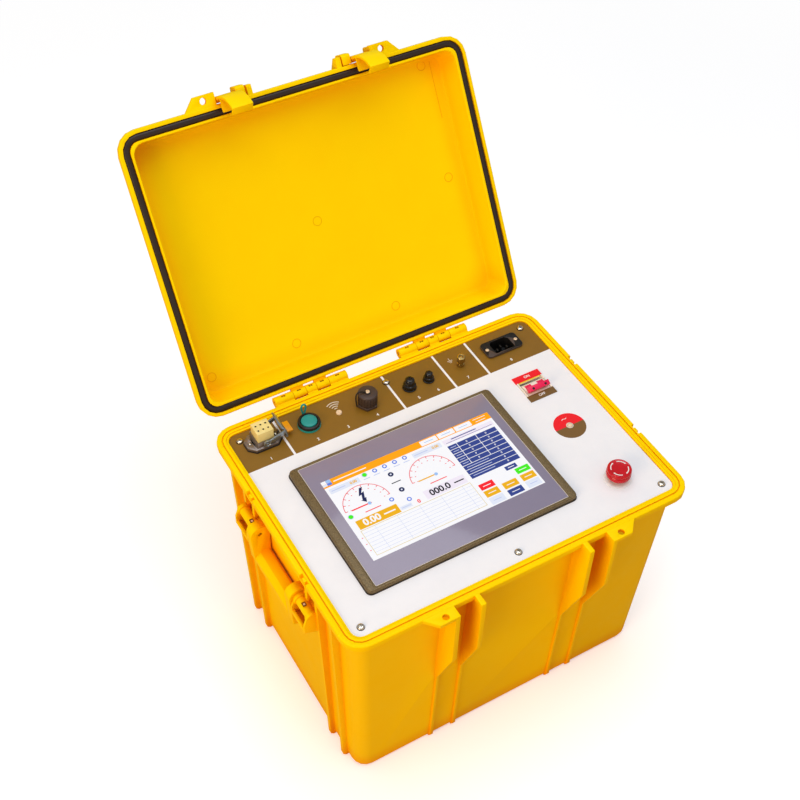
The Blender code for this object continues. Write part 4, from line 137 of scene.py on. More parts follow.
@dataclass(frozen=True)
class Finish:
    """A surface finish: what it is made of and how its surface was made."""

    name: str
    colour: str
    roughness: float
    shade: str = ""             # second colour that the first drifts to
    drift: float = 40.0         # size of the drift in mm
    share: float = 0.35         # how much of the second colour shows
    grain: float = 0.0          # grain spacing in mm
    depth: float = 0.02         # grain depth in mm
    metallic: float = 0.0
    ior: float = 1.5
    coat: float = 0.0
    spread: float = 0.06        # how far roughness wanders
    glow: float = 0.0
    gloss: float = 0.3          # strength of the plain reflection

    def make(self) -> bpy.types.Material:
        """Build the material, once."""
        if self.name in bpy.data.materials:
            return bpy.data.materials[self.name]
        material = bpy.data.materials.new(self.name)
        material.use_nodes = True
        tree = material.node_tree
        shader = tree.nodes["Principled BSDF"]
        place = add_node(tree, "ShaderNodeTexCoord").outputs["Object"]
        cloud = add_node(tree, "ShaderNodeTexNoise", {"Scale": 1 / (self.drift * MM), "Detail": 4.0,
                                                      "Roughness": 0.6}, {"Vector": place})
        colour = self.paint(tree, cloud.outputs["Fac"])
        base = colour
        if self.glow:
            dim = add_node(tree, "ShaderNodeMix", {0: self.glow, 7: srgb("000000")}, {6: colour},
                           data_type="RGBA")
            base = dim.outputs[2]
        tree.links.new(base, shader.inputs["Base Color"])
        rough = add_node(tree, "ShaderNodeMapRange", {"From Min": CLOUD_SPAN[0], "From Max": CLOUD_SPAN[1],
                                                      "To Min": max(self.roughness - self.spread, 0.02),
                                                      "To Max": min(self.roughness + self.spread, 1.0)},
                         {"Value": cloud.outputs["Fac"]})
        tree.links.new(rough.outputs["Result"], shader.inputs["Roughness"])
        if self.grain:
            grit = add_node(tree, "ShaderNodeTexNoise", {"Scale": 1 / (self.grain * MM), "Detail": 3.0},
                            {"Vector": place})
            bump = add_node(tree, "ShaderNodeBump", {"Strength": 0.8, "Distance": self.depth * MM},
                            {"Height": grit.outputs["Fac"]})
            tree.links.new(bump.outputs["Normal"], shader.inputs["Normal"])
        shader.inputs["Metallic"].default_value = self.metallic
        if not self.metallic:
            shader.inputs["IOR"].default_value = self.ior
            shader.inputs["Specular IOR Level"].default_value = self.gloss
        shader.inputs["Coat Weight"].default_value = self.coat
        shader.inputs["Coat Roughness"].default_value = COAT_ROUGHNESS
        if self.glow:
            tree.links.new(colour, shader.inputs["Emission Color"])
            shader.inputs["Emission Strength"].default_value = self.glow
        return material

    def paint(self, tree: bpy.types.NodeTree, cloud: bpy.types.NodeSocket) -> bpy.types.NodeSocket:
        """Mix the two colours by the drift noise.

        Args:
            tree: the material's node tree.
            cloud: the noise that the colour follows.

        Returns:
            The colour's socket.
        """
        ramp = add_node(tree, "ShaderNodeMapRange", {"From Min": DRIFT_SPAN[0], "From Max": DRIFT_SPAN[1],
                                                     "To Max": self.share}, {"Value": cloud})
        mix = add_node(tree, "ShaderNodeMix", {6: srgb(self.colour), 7: srgb(self.shade or self.colour)},
                       {0: ramp.outputs["Result"]}, data_type="RGBA")
        return mix.outputs[2]


@dataclass(frozen=True)
class RecessedFinish(Finish):
    """A moulding with painted shade: its colour is deepened towards orange in corners and recesses, where the
    real plastic is shaded and lit by its own bounced light.
    """

    # colour of the painted shade in corners and recesses
    deep: str = "F49400"
    reach: float = 42.0         # how far the deepening reaches from a corner, in mm
    open_sky: float = 0.88      # share of open sky at which the deepening starts
    hidden_sky: float = 0.36    # share of open sky at which it is full
    most: float = 0.80          # its full strength

    def paint(self, tree: bpy.types.NodeTree, cloud: bpy.types.NodeSocket) -> bpy.types.NodeSocket:
        """Paint shade: deepen the colour by how much of the sky is hidden.

        Args:
            tree: the material's node tree.
            cloud: the noise that the colour follows.

        Returns:
            The colour's socket.
        """
        plain = super().paint(tree, cloud)
        sky = add_node(tree, "ShaderNodeAmbientOcclusion", {"Distance": self.reach * MM}, samples=8)
        hidden = add_node(tree, "ShaderNodeMapRange", {"From Min": self.open_sky, "From Max": self.hidden_sky,
                                                       "To Max": self.most}, {"Value": sky.outputs["AO"]})
        both = add_node(tree, "ShaderNodeMix", {7: srgb(self.deep)}, {0: hidden.outputs["Result"], 6: plain},
                        data_type="RGBA")
        return both.outputs[2]


@dataclass(frozen=True)
class BandedFinish(Finish):
    """A printed sheet: a coloured band across its back, split by lines of the sheet's own colour."""

    band: str = "8B6518"
    band_shade: str = "7C5812"
    band_from: float = 0.0969   # front edge of the band
    dividers: tuple = (-0.1483, -0.0003, 0.0717, 0.1192)    # places of the lines, left to right
    divider_half: float = 0.0014

    def paint(self, tree: bpy.types.NodeTree, cloud: bpy.types.NodeSocket) -> bpy.types.NodeSocket:
        """Paint the band and leave its dividers clear.

        Args:
            tree: the material's node tree.
            cloud: the noise that the colours follow.

        Returns:
            The colour's socket.
        """
        sheet = super().paint(tree, cloud)
        band = add_node(tree, "ShaderNodeMix", {6: srgb(self.band), 7: srgb(self.band_shade)}, {0: cloud},
                        data_type="RGBA")
        place = add_node(tree, "ShaderNodeTexCoord").outputs["Object"]
        split = add_node(tree, "ShaderNodeSeparateXYZ", links={0: place})
        mask = add_node(tree, "ShaderNodeMath", {1: self.band_from}, {0: split.outputs["Y"]},
                        operation="GREATER_THAN").outputs[0]
        for line in self.dividers:
            near = add_node(tree, "ShaderNodeMath", {1: line, 2: self.divider_half}, {0: split.outputs["X"]},
                            operation="COMPARE").outputs[0]
            clear = add_node(tree, "ShaderNodeMath", {0: 1.0}, {1: near}, operation="SUBTRACT").outputs[0]
            mask = add_node(tree, "ShaderNodeMath", links={0: mask, 1: clear}, operation="MULTIPLY").outputs[0]
        both = add_node(tree, "ShaderNodeMix", links={0: mask, 6: sheet, 7: band.outputs[2]}, data_type="RGBA")
        return both.outputs[2]


@dataclass(frozen=True)
class HalvesFinish(Finish):
    """A printed disc: one colour in its back half, another in its front half."""

    front: str = "77582A"
    split_y: float = -0.021     # where the halves meet

    def paint(self, tree: bpy.types.NodeTree, cloud: bpy.types.NodeSocket) -> bpy.types.NodeSocket:
        """Paint the two halves.

        Args:
            tree: the material's node tree.
            cloud: the noise that the back half's colour follows.

        Returns:
            The colour's socket.
        """
        back = super().paint(tree, cloud)
        place = add_node(tree, "ShaderNodeTexCoord").outputs["Object"]
        split = add_node(tree, "ShaderNodeSeparateXYZ", links={0: place})
        mask = add_node(tree, "ShaderNodeMath", {1: self.split_y}, {0: split.outputs["Y"]},
                        operation="LESS_THAN").outputs[0]
        both = add_node(tree, "ShaderNodeMix", {7: srgb(self.front)}, {0: mask, 6: back}, data_type="RGBA")
        return both.outputs[2]


# Injection-moulded polypropylene: deep, even yellow, half gloss, with a fine spark-eroded grain.
# The real grain is about 0.1 mm; it is drawn at 0.9 mm so that it shows.
# Its colour carries painted shade: deepened to orange in corners and recesses.
YELLOW = RecessedFinish("moulded_polypropylene_yellow_painted_shade", "FFD800", 0.42, "FFD200", 60.0, 0.5, grain=0.9,
                        depth=0.012, gloss=0.03)
# Witness marks of the mould: the same plastic, a little duller.
MARK = Finish("mould_witness_ochre", "E6A800", 0.5, "DB9F00", 6.0, 0.5, gloss=0.03)
# Painted shade: the yellow plastic at the bottom of a narrow recess, painted dull brown where next to no light
# gets in.
PAINTED_RECESS_SHADE = Finish("recess_shadow_brown", "7C4A0C", 0.6, "6A3E08", 4.0, 0.5, gloss=0.05)
# Extruded foam rubber: dark brown and matt, with open pores.
GASKET = Finish("extruded_rubber_brown", "2C211B", 0.38, "211813", 6.0, 0.6, grain=0.8, depth=0.03,
                gloss=0.35)
# Printed polyester overlay on the aluminium panel: off-white with a soft sheen.
PANEL = BandedFinish("printed_overlay_white", "F0F0F2", 0.42, "E9EAED", 30.0, 0.6, grain=0.7, depth=0.006,
                     gloss=0.3)
# Brushed and lacquered aluminium frame: bronze-brown, with a short grain and a dull metal glint.
BEZEL = Finish("lacquered_frame_bronze", "7C6840", 0.42, "4A3C22", 1.6, 0.9, grain=1.2, depth=0.05,
               metallic=0.35)
# Reverse-printed cover glass: mauve grey under a glossy face.
GLASS = Finish("printed_glass_grey", "8A8398", 0.14, "867F93", 50.0, 0.6, coat=0.4, spread=0.02)
# Injection-moulded nylon: black, half matt, with a fine mould grain.
BLACK = Finish("moulded_nylon_black", "1E1A18", 0.38, "2A2421", 12.0, 0.5, grain=0.8, depth=0.02)
# Compression-moulded phenolic knobs: deep black with a polished gloss.
KNOB = Finish("moulded_phenolic_black", "121110", 0.18, "1C1A18", 10.0, 0.5, coat=0.3, spread=0.04)
# Glass-filled nylon socket and cap: brownish black, dulled by its fibres.
BROWN_CAP = Finish("moulded_nylon_brown", "463730", 0.42, "3A2D27", 8.0, 0.5, grain=0.8, depth=0.02)
# Moulded thermoplastic rubber: bright teal, soft sheen.
TEAL = Finish("moulded_rubber_teal", "22938C", 0.42, "1B857E", 10.0, 0.5, grain=0.9, depth=0.02)
# Die-cast zinc: grey-brown, with the slight mottling of a tumbled casting.
ZINC = Finish("die_cast_zinc", "8E837B", 0.38, "776C65", 5.0, 0.6, grain=1.0, depth=0.03, metallic=0.75)
# Zinc-plated steel strip: pale blue-grey.
PLATED = Finish("plated_steel_blue", "A3B0BB", 0.28, "8896A3", 7.0, 0.5, grain=1.2, depth=0.01, metallic=0.9)
# Turned and polished steel pins: bright, faintly streaked.
STEEL = Finish("turned_steel", "C2BFB8", 0.22, "A39F97", 6.0, 0.5, metallic=1.0)
# Nickel-plated screw heads: warm bright metal, browner where the plating is thin.
NICKEL = Finish("nickel_plated_screw", "D8D2C6", 0.16, "B8A98C", 3.0, 0.5, metallic=1.0)
# Turned brass: dull gold, a little tarnished.
BRASS = Finish("turned_brass", "BCA568", 0.24, "9A8248", 4.0, 0.5, metallic=1.0)
# Moulded polyamide insert: cream, half matt.
CREAM = Finish("moulded_polyamide_cream", "EBD88E", 0.42, "DFC878", 6.0, 0.5, grain=0.8, depth=0.02)
# Moulded polyamide tab: orange, half matt.
AMBER = Finish("moulded_polyamide_amber", "EE9E10", 0.36, "E08E08", 8.0, 0.5, grain=0.8, depth=0.015)
# Moulded nylon inlet flange: dark umber, matt.
INLET = Finish("moulded_nylon_umber", "4E423C", 0.40, "40352F", 9.0, 0.5, grain=0.8, depth=0.03)
# Painted shade: a near-black colour for the inside of a socket or hole, where hardly any light gets in.
PAINTED_HOLE_SHADE = Finish("painted_hole_shade_black", "0C0B0A", 0.50, "151311", 6.0, 0.5)
# Moulded polyamide breaker case: warm white, half matt.
WHITE = Finish("moulded_polyamide_white", "F1EADB", 0.42, "E6DDCB", 8.0, 0.5, grain=0.8, depth=0.015)
# Moulded polyamide toggles: crimson, slightly glossy from handling.
PINK = Finish("moulded_polyamide_crimson", "EA1E54", 0.34, "D8184A", 8.0, 0.5, grain=0.8, depth=0.015)
# Frosted polycarbonate lens: milky beige under a clear skin.
LAMP = Finish("frosted_lens_beige", "E8CFAE", 0.30, "DDBE98", 3.0, 0.5, coat=0.3)
# Clear-coated moulded head: deep red with a wet gloss.
STOP = Finish("clear_coated_red", "C60A1A", 0.20, "AC0612", 8.0, 0.5, coat=0.12, spread=0.03)
# Turned acetal ring: clean white, satin.
COLLAR = Finish("moulded_acetal_white", "EDEDEE", 0.40, "E2E2E4", 8.0, 0.5, grain=0.8, depth=0.01)
# Screen-printed inks: flat, even films that are duller than the sheet under them.
INK_WHITE = Finish("screen_print_white", "EDEBE6", 0.50, "E2DFD8", 3.0, 0.5)
INK_RED = Finish("screen_print_red", "F0131F", 0.40, "E20F1B", 8.0, 0.5)
INK_BROWN = Finish("screen_print_brown", "77582A", 0.42, "6C4F24", 8.0, 0.5)
INK_YELLOW = Finish("screen_print_yellow", "E8D24A", 0.42, "DCC53C", 4.0, 0.5)
INK_SILVER = Finish("screen_print_silver", "D9CFBE", 0.42, "C9BEAB", 4.0, 0.5)
DISC = HalvesFinish("screen_print_halves", "F0131F", 0.40, "E20F1B", 8.0, 0.5)
# Stacked silicon-steel laminations: dark grey with the lines of the stack.
CORE = Finish("stacked_silicon_steel", "5A5550", 0.55, "4A4541", 1.5, 0.6, grain=1.0, depth=0.05, metallic=0.6)
# Enamelled copper wire, wound: brown-orange with a fine ribbing.
COPPER = Finish("enamelled_copper_wire", "B0622F", 0.32, "8F4A20", 2.0, 0.6, grain=1.2, depth=0.08,
                metallic=0.7)
# Cast epoxy: red-brown, smooth.
EPOXY = Finish("cast_epoxy_brown", "7A2E1E", 0.35, "6A2618", 12.0, 0.5, grain=1.0, depth=0.02)
# Solder mask on a circuit board: green, half gloss.
BOARD = Finish("solder_mask_green", "1E5B3A", 0.36, "184E31", 5.0, 0.6, grain=0.8, depth=0.02)
# Hot-dip galvanised sheet: grey, with its cloudy spangle.
SHEET = Finish("galvanised_sheet", "A8A9A8", 0.36, "8F9291", 12.0, 0.7, grain=1.5, depth=0.01, metallic=0.9)
# Glazed ceramic resistor body: blue, glossy.
RESISTOR = Finish("glazed_ceramic_blue", "3A5A8C", 0.22, "304E7C", 8.0, 0.5, coat=0.3)


def lit(name: str, colour: str) -> Finish:
    """Finish of a lit area of the display: a liquid crystal panel, even, bright and glossy."""
    return Finish(f"display_{name}", colour, 0.20, colour, 20.0, 0.2, spread=0.02, glow=0.55, gloss=0.3)


LIT_WHITE = lit("white", "F6F8FD")
LIT_ORANGE = lit("orange", "FFA600")
LIT_AMBER = lit("amber", "EDB20F")
LIT_PALE = lit("pale", "DFE7F8")
LIT_LAVENDER = lit("lavender", "EFE9F8")
LIT_NAVY = lit("navy", "33458F")
LIT_DARK = lit("midnight", "1B2556")
LIT_BLUE = lit("blue", "5F82E6")
LIT_SKY = lit("sky", "9CC2F4")
LIT_RED = lit("red", "F8202A")
LIT_ROSE = lit("rose", "EC6A74")
LIT_GREEN = lit("green", "43EE18")
LIT_BLACK = lit("black", "15161C")
LIT_GRID = lit("grid", "BFCBEF")
LIT_FRAME = lit("frame", "DCC77C")


def select_only(piece: bpy.types.Object) -> None:
    """Select one object and make it active."""
    bpy.ops.object.select_all(action="DESELECT")
    piece.select_set(True)
    bpy.context.view_layer.objects.active = piece


@contextmanager
def editing(piece: bpy.types.Object, kind: Shape) -> Iterator[None]:
    """Edit a piece's mesh, with nothing selected at first.

    Args:
        piece: the object to edit.
        kind: what selections pick.
    """
    select_only(piece)
    bpy.ops.object.mode_set(mode="EDIT")
    bpy.ops.mesh.select_mode(type=kind.value)
    bpy.ops.mesh.select_all(action="DESELECT")
    yield
    bpy.ops.object.mode_set(mode="OBJECT")


def pick(piece: bpy.types.Object, kind: Shape, test: Callable) -> None:
    """Select the vertices, edges or faces that pass a test.

    Args:
        piece: the object in edit mode.
        kind: what to look through.
        test: takes an element and says whether it is wanted.
    """
    mesh = bmesh.from_edit_mesh(piece.data)
    rows = {Shape.VERT: mesh.verts, Shape.EDGE: mesh.edges, Shape.FACE: mesh.faces}[kind]
    for element in rows:
        if test(element):
            element.select_set(True)
    mesh.select_flush_mode()
    bmesh.update_edit_mesh(piece.data)


def settle(piece: bpy.types.Object, name: str) -> bpy.types.Object:
    """Name a piece and put its place into its mesh.

    Args:
        piece: the object.
        name: its name.

    Returns:
        The piece.
    """
    select_only(piece)
    bpy.ops.object.transform_apply(location=True, rotation=True, scale=True)
    piece.name = name
    piece.data.name = name
    return piece


def tidy_mesh(piece: bpy.types.Object) -> None:
    """Merge doubles and point every face outwards.

    Args:
        piece: the object.
    """
    with editing(piece, Shape.FACE):
        bpy.ops.mesh.select_all(action="SELECT")
        bpy.ops.mesh.remove_doubles(threshold=WELD)
        bpy.ops.mesh.normals_make_consistent(inside=False)


def apply_modifier(piece: bpy.types.Object, kind: str, **settings: object) -> None:
    """Add a modifier with its settings and apply it.

    Args:
        piece: the object.
        kind: the modifier's type name.
        settings: the modifier's properties.
    """
    modifier = piece.modifiers.new(kind.lower(), kind)
    for name, value in settings.items():
        setattr(modifier, name, value)
    select_only(piece)
    bpy.ops.object.modifier_apply(modifier=modifier.name)


def round_edges(piece: bpy.types.Object, width: float, segments: int = 2) -> None:
    """Round the sharp edges of a piece.

    Args:
        piece: the object.
        width: radius of the rounded edges.
        segments: segments of each one.
    """
    apply_modifier(piece, "BEVEL", width=width, segments=segments, limit_method="ANGLE",
                   angle_limit=SHARP, use_clamp_overlap=True, miter_outer="MITER_ARC")


def carve(piece: bpy.types.Object, cutters: list[bpy.types.Object]) -> None:
    """Cut solids out of a piece, and remove them.

    Args:
        piece: the object that is cut.
        cutters: the solids to cut out.
    """
    for cutter in cutters:
        apply_modifier(piece, "BOOLEAN", operation="DIFFERENCE", solver="EXACT", object=cutter)
        bpy.data.objects.remove(cutter, do_unlink=True)


def unite(pieces: list[bpy.types.Object], name: str) -> bpy.types.Object:
    """Join pieces into one object.

    Args:
        pieces: the objects to join.
        name: the name of the result.

    Returns:
        The joined object.
    """
    bpy.ops.object.select_all(action="DESELECT")
    for piece in pieces:
        piece.select_set(True)
    bpy.context.view_layer.objects.active = pieces[0]
    if len(pieces) > 1:
        bpy.ops.object.join()
    return settle(pieces[0], name)


def slab(name: str, centre: tuple, size: tuple, low: float, high: float, corner: float = 0.0,
         edge: float = 0.0, steps: int = 6) -> bpy.types.Object:
    """A block with rounded upright corners and a rounded top edge.

    Args:
        name: the piece's name.
        centre: plan place.
        size: plan size.
        low: level of the underside.
        high: level of the top.
        corner: radius of the upright corners.
        edge: radius of the top edge.
        steps: segments of each upright corner; one makes a chamfer.

    Returns:
        The block.
    """
    bpy.ops.mesh.primitive_cube_add(size=1.0, location=(centre[0], centre[1], (low + high) / 2))
    piece = bpy.context.active_object
    piece.scale = (size[0], size[1], high - low)
    settle(piece, name)
    with editing(piece, Shape.EDGE):
        if corner:
            pick(piece, Shape.EDGE, lambda e: abs(e.verts[0].co.z - e.verts[1].co.z) > LEVEL)
            bpy.ops.mesh.bevel(offset=corner, segments=steps, affect="EDGES", clamp_overlap=True)
        if edge:
            bpy.ops.mesh.select_all(action="DESELECT")
            pick(piece, Shape.EDGE, lambda e: all(abs(v.co.z - high) < LEVEL for v in e.verts))
            bpy.ops.mesh.bevel(offset=edge, segments=3, affect="EDGES", clamp_overlap=True)
    return piece


def turning(name: str, place: tuple, profile: list, sides: int = 48) -> bpy.types.Object:
    """A turned piece, extruded ring by ring from a filled circle.

    Args:
        name: the piece's name.
        place: plan place of the axis.
        profile: pairs of radius and level, from the underside up and inwards.
        sides: points round the piece.

    Returns:
        The turned piece.
    """
    radius, level = profile[0]
    bpy.ops.mesh.primitive_circle_add(vertices=sides, radius=radius, fill_type="NGON",
                                      location=(place[0], place[1], level))
    piece = settle(bpy.context.active_object, name)
    with editing(piece, Shape.FACE):
        bpy.ops.mesh.select_all(action="SELECT")
        for next_radius, next_level in profile[1:]:
            bpy.ops.mesh.extrude_region_move(TRANSFORM_OT_translate={"value": (0.0, 0.0, next_level - level)})
            share = next_radius / radius
            bpy.ops.transform.resize(value=(share, share, 1.0),
                                     center_override=(place[0], place[1], next_level))
            radius, level = next_radius, next_level
    tidy_mesh(piece)
    return piece


def sweep(name: str, centre: tuple, radius: float, width: float, start: float, end: float, low: float,
          thick: float, steps: int = 24) -> bpy.types.Object:
    """A flat curved band, spun from one small upright rectangle.

    Args:
        name: the piece's name.
        centre: plan place of the arc's centre.
        radius: middle radius of the band.
        width: radial width.
        start: first angle.
        end: last angle.
        low: level of the underside.
        thick: thickness.
        steps: segments along the arc.

    Returns:
        The band.
    """
    place = (centre[0] + radius * math.cos(start), centre[1] + radius * math.sin(start), low + thick / 2)
    bpy.ops.mesh.primitive_plane_add(size=1.0, location=place, rotation=(math.pi / 2, 0.0, start))
    piece = bpy.context.active_object
    piece.scale = (width, thick, 1.0)
    settle(piece, name)
    with editing(piece, Shape.FACE):
        bpy.ops.mesh.select_all(action="SELECT")
        bpy.ops.mesh.spin(steps=steps, angle=start - end, center=(centre[0], centre[1], low),
                          axis=(0.0, 0.0, 1.0))
    tidy_mesh(piece)
    return piece


def lettering(name: str, words: str, centre: tuple, height: float, low: float,
              heavy: float = BOLD) -> bpy.types.Object:
    """Printed figures as a thin raised film.

    Args:
        name: the piece's name.
        words: the figures.
        centre: plan place of their middle.
        height: size of the type.
        low: level of the underside.
        heavy: how much bolder than the plain face.

    Returns:
        The figures as one mesh.
    """
    bpy.ops.object.text_add(location=(centre[0], centre[1], low + FILM / 2))
    piece = bpy.context.active_object
    piece.data.body = words
    piece.data.size = height
    piece.data.extrude = FILM / 2
    piece.data.offset = heavy * height
    piece.data.resolution_u = 3
    piece.data.align_x = "CENTER"
    piece.data.align_y = "CENTER"
    select_only(piece)
    bpy.ops.object.convert(target="MESH")
    settle(piece, name)
    tidy_mesh(piece)
    return piece


def dress(piece: bpy.types.Object, finish: Finish, body: Body, smooth: bool = True,
          replaces: tuple = ()) -> None:
    """Finish a piece: material, shading, the body it rides on and the nodes it stands for.

    Args:
        piece: the object.
        finish: its surface.
        body: what carries it.
        smooth: whether to shade smooth across shallow edges.
        replaces: CAD nodes that the piece stands for.
    """
    piece.data.materials.clear()
    piece.data.materials.append(finish.make())
    select_only(piece)
    if smooth:
        bpy.ops.object.shade_smooth_by_angle(angle=SMOOTH)
    else:
        bpy.ops.object.shade_flat()
    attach(piece, body.value)
    if replaces:
        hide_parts(*replaces)
    LOG.info("%s: %s, rides on %s", piece.name, finish.name, body.value)


def moulding(node: str, name: str, edge: float, segments: int = 2) -> bpy.types.Object:
    """A merged copy of a CAD node, with its edges rounded.

    Args:
        node: the CAD node.
        name: the piece's name.
        edge: radius of the edges.
        segments: segments of each rounded edge.

    Returns:
        The copy.
    """
    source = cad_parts[node]
    piece = source.copy()
    piece.data = source.data.copy()
    bpy.context.scene.collection.objects.link(piece)
    piece.name = name
    piece.data.name = name
    with editing(piece, Shape.VERT):
        bpy.ops.mesh.select_all(action="SELECT")
        bpy.ops.mesh.remove_doubles(threshold=WELD)
        bpy.ops.mesh.customdata_custom_splitnormals_clear()
        bpy.ops.mesh.dissolve_limited(angle_limit=FLAT)
    round_edges(piece, edge, segments)
    return piece


def level_of(node: str) -> tuple[float, float]:
    """Lowest and highest level of a CAD node."""
    low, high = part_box(node)
    return low[2], high[2]


def film_level(node: str) -> float:
    """Level of a printed film on top of a CAD node."""
    return level_of(node)[1] + SETTLE


def cord(name: str, path: list, radius: float) -> bpy.types.Object:
    """A round moulded cord along a smooth path.

    Args:
        name: the piece's name.
        path: places that lead the cord, in metres.
        radius: radius of the cord.

    Returns:
        The cord.
    """
    line = bpy.data.curves.new(name, "CURVE")
    line.dimensions = "3D"
    spline = line.splines.new("NURBS")
    spline.points.add(len(path) - 1)
    for point, place in zip(spline.points, path):
        point.co = (place[0], place[1], place[2], 1.0)
    spline.use_endpoint_u = True
    spline.order_u = 4
    line.resolution_u = 6
    line.bevel_depth = radius
    line.bevel_resolution = 3
    line.use_fill_caps = True
    piece = bpy.data.objects.new(name, line)
    bpy.context.scene.collection.objects.link(piece)
    select_only(piece)
    bpy.ops.object.convert(target="MESH")
    settle(piece, name)
    tidy_mesh(piece)
    return piece


def turn(piece: bpy.types.Object, angle: float, axis: str, centre: tuple) -> bpy.types.Object:
    """Turn a piece about an axis through a point, and put the turn into its mesh.

    Args:
        piece: the object.
        angle: how far it turns.
        axis: letter of the axis.
        centre: a point on the axis.

    Returns:
        The piece.
    """
    spot = Matrix.Translation(Vector(centre))
    piece.matrix_world = spot @ Matrix.Rotation(angle, 4, axis) @ spot.inverted() @ piece.matrix_world
    return settle(piece, piece.name)


def plate(name: str, outline: list, low: float, high: float) -> bpy.types.Object:
    """A flat plate with a drawn outline.

    Args:
        name: the piece's name.
        outline: plan places of its corners, in order.
        low: level of the underside.
        high: level of the top.

    Returns:
        The plate.
    """
    bpy.ops.mesh.primitive_circle_add(vertices=len(outline), fill_type="NGON")
    piece = settle(bpy.context.active_object, name)
    for vertex, point in zip(piece.data.vertices, outline):
        vertex.co = (point[0], point[1], low)
    with editing(piece, Shape.FACE):
        bpy.ops.mesh.select_all(action="SELECT")
        bpy.ops.mesh.extrude_region_move(TRANSFORM_OT_translate={"value": (0.0, 0.0, high - low)})
    tidy_mesh(piece)
    return piece


def middle_of(node: str) -> tuple[float, float]:
    """Plan place of a CAD node's middle."""
    low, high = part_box(node)
    return (low[0] + high[0]) / 2, (low[1] + high[1]) / 2


def radius_of(node: str) -> float:
    """Half of a CAD node's width."""
    low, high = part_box(node)
    return (high[0] - low[0]) / 2


def panel_top() -> float:
    """Level of the front panel's face."""
    return level_of("front_panel")[1]


def shaped(profile: tuple, foot: float, radius: float = 1.0, height: float = 1.0) -> list:
    """Fit a drawn profile to a turned piece.

    Args:
        profile: pairs of radius and rise, as shares or as real sizes.
        foot: level of its underside.
        radius: what the radii are shares of.
        height: what the rises are shares of.

    Returns:
        Pairs of radius and level.
    """
    return [(radius * out, foot + height * up) for out, up in profile]


def spread_round(centre: tuple, reach: float, count: int) -> list[tuple[float, float]]:
    """Plan places spaced evenly round a circle.

    Args:
        centre: plan place of the circle's middle.
        reach: its radius.
        count: how many places.

    Returns:
        The places.
    """
    angles = [math.tau * number / count for number in range(count)]
    return [(centre[0] + reach * math.cos(angle), centre[1] + reach * math.sin(angle)) for angle in angles]


def pad_under(name: str, node: str, proud: float, rise: float, corner: float,
              **shape: float) -> bpy.types.Object:
    """A thin pad on the front panel that shows all round under a CAD node.

    Args:
        name: the piece's name.
        node: the CAD node.
        proud: how far the pad shows.
        rise: its thickness.
        corner: its corner radius.
        shape: its top edge or its corner's segments, as in a slab.

    Returns:
        The pad.
    """
    low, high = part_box(node)
    seat = film_level("front_panel")
    size = (high[0] - low[0] + 2 * proud, high[1] - low[1] + 2 * proud)
    return slab(name, middle_of(node), size, seat, seat + rise, corner, **shape)


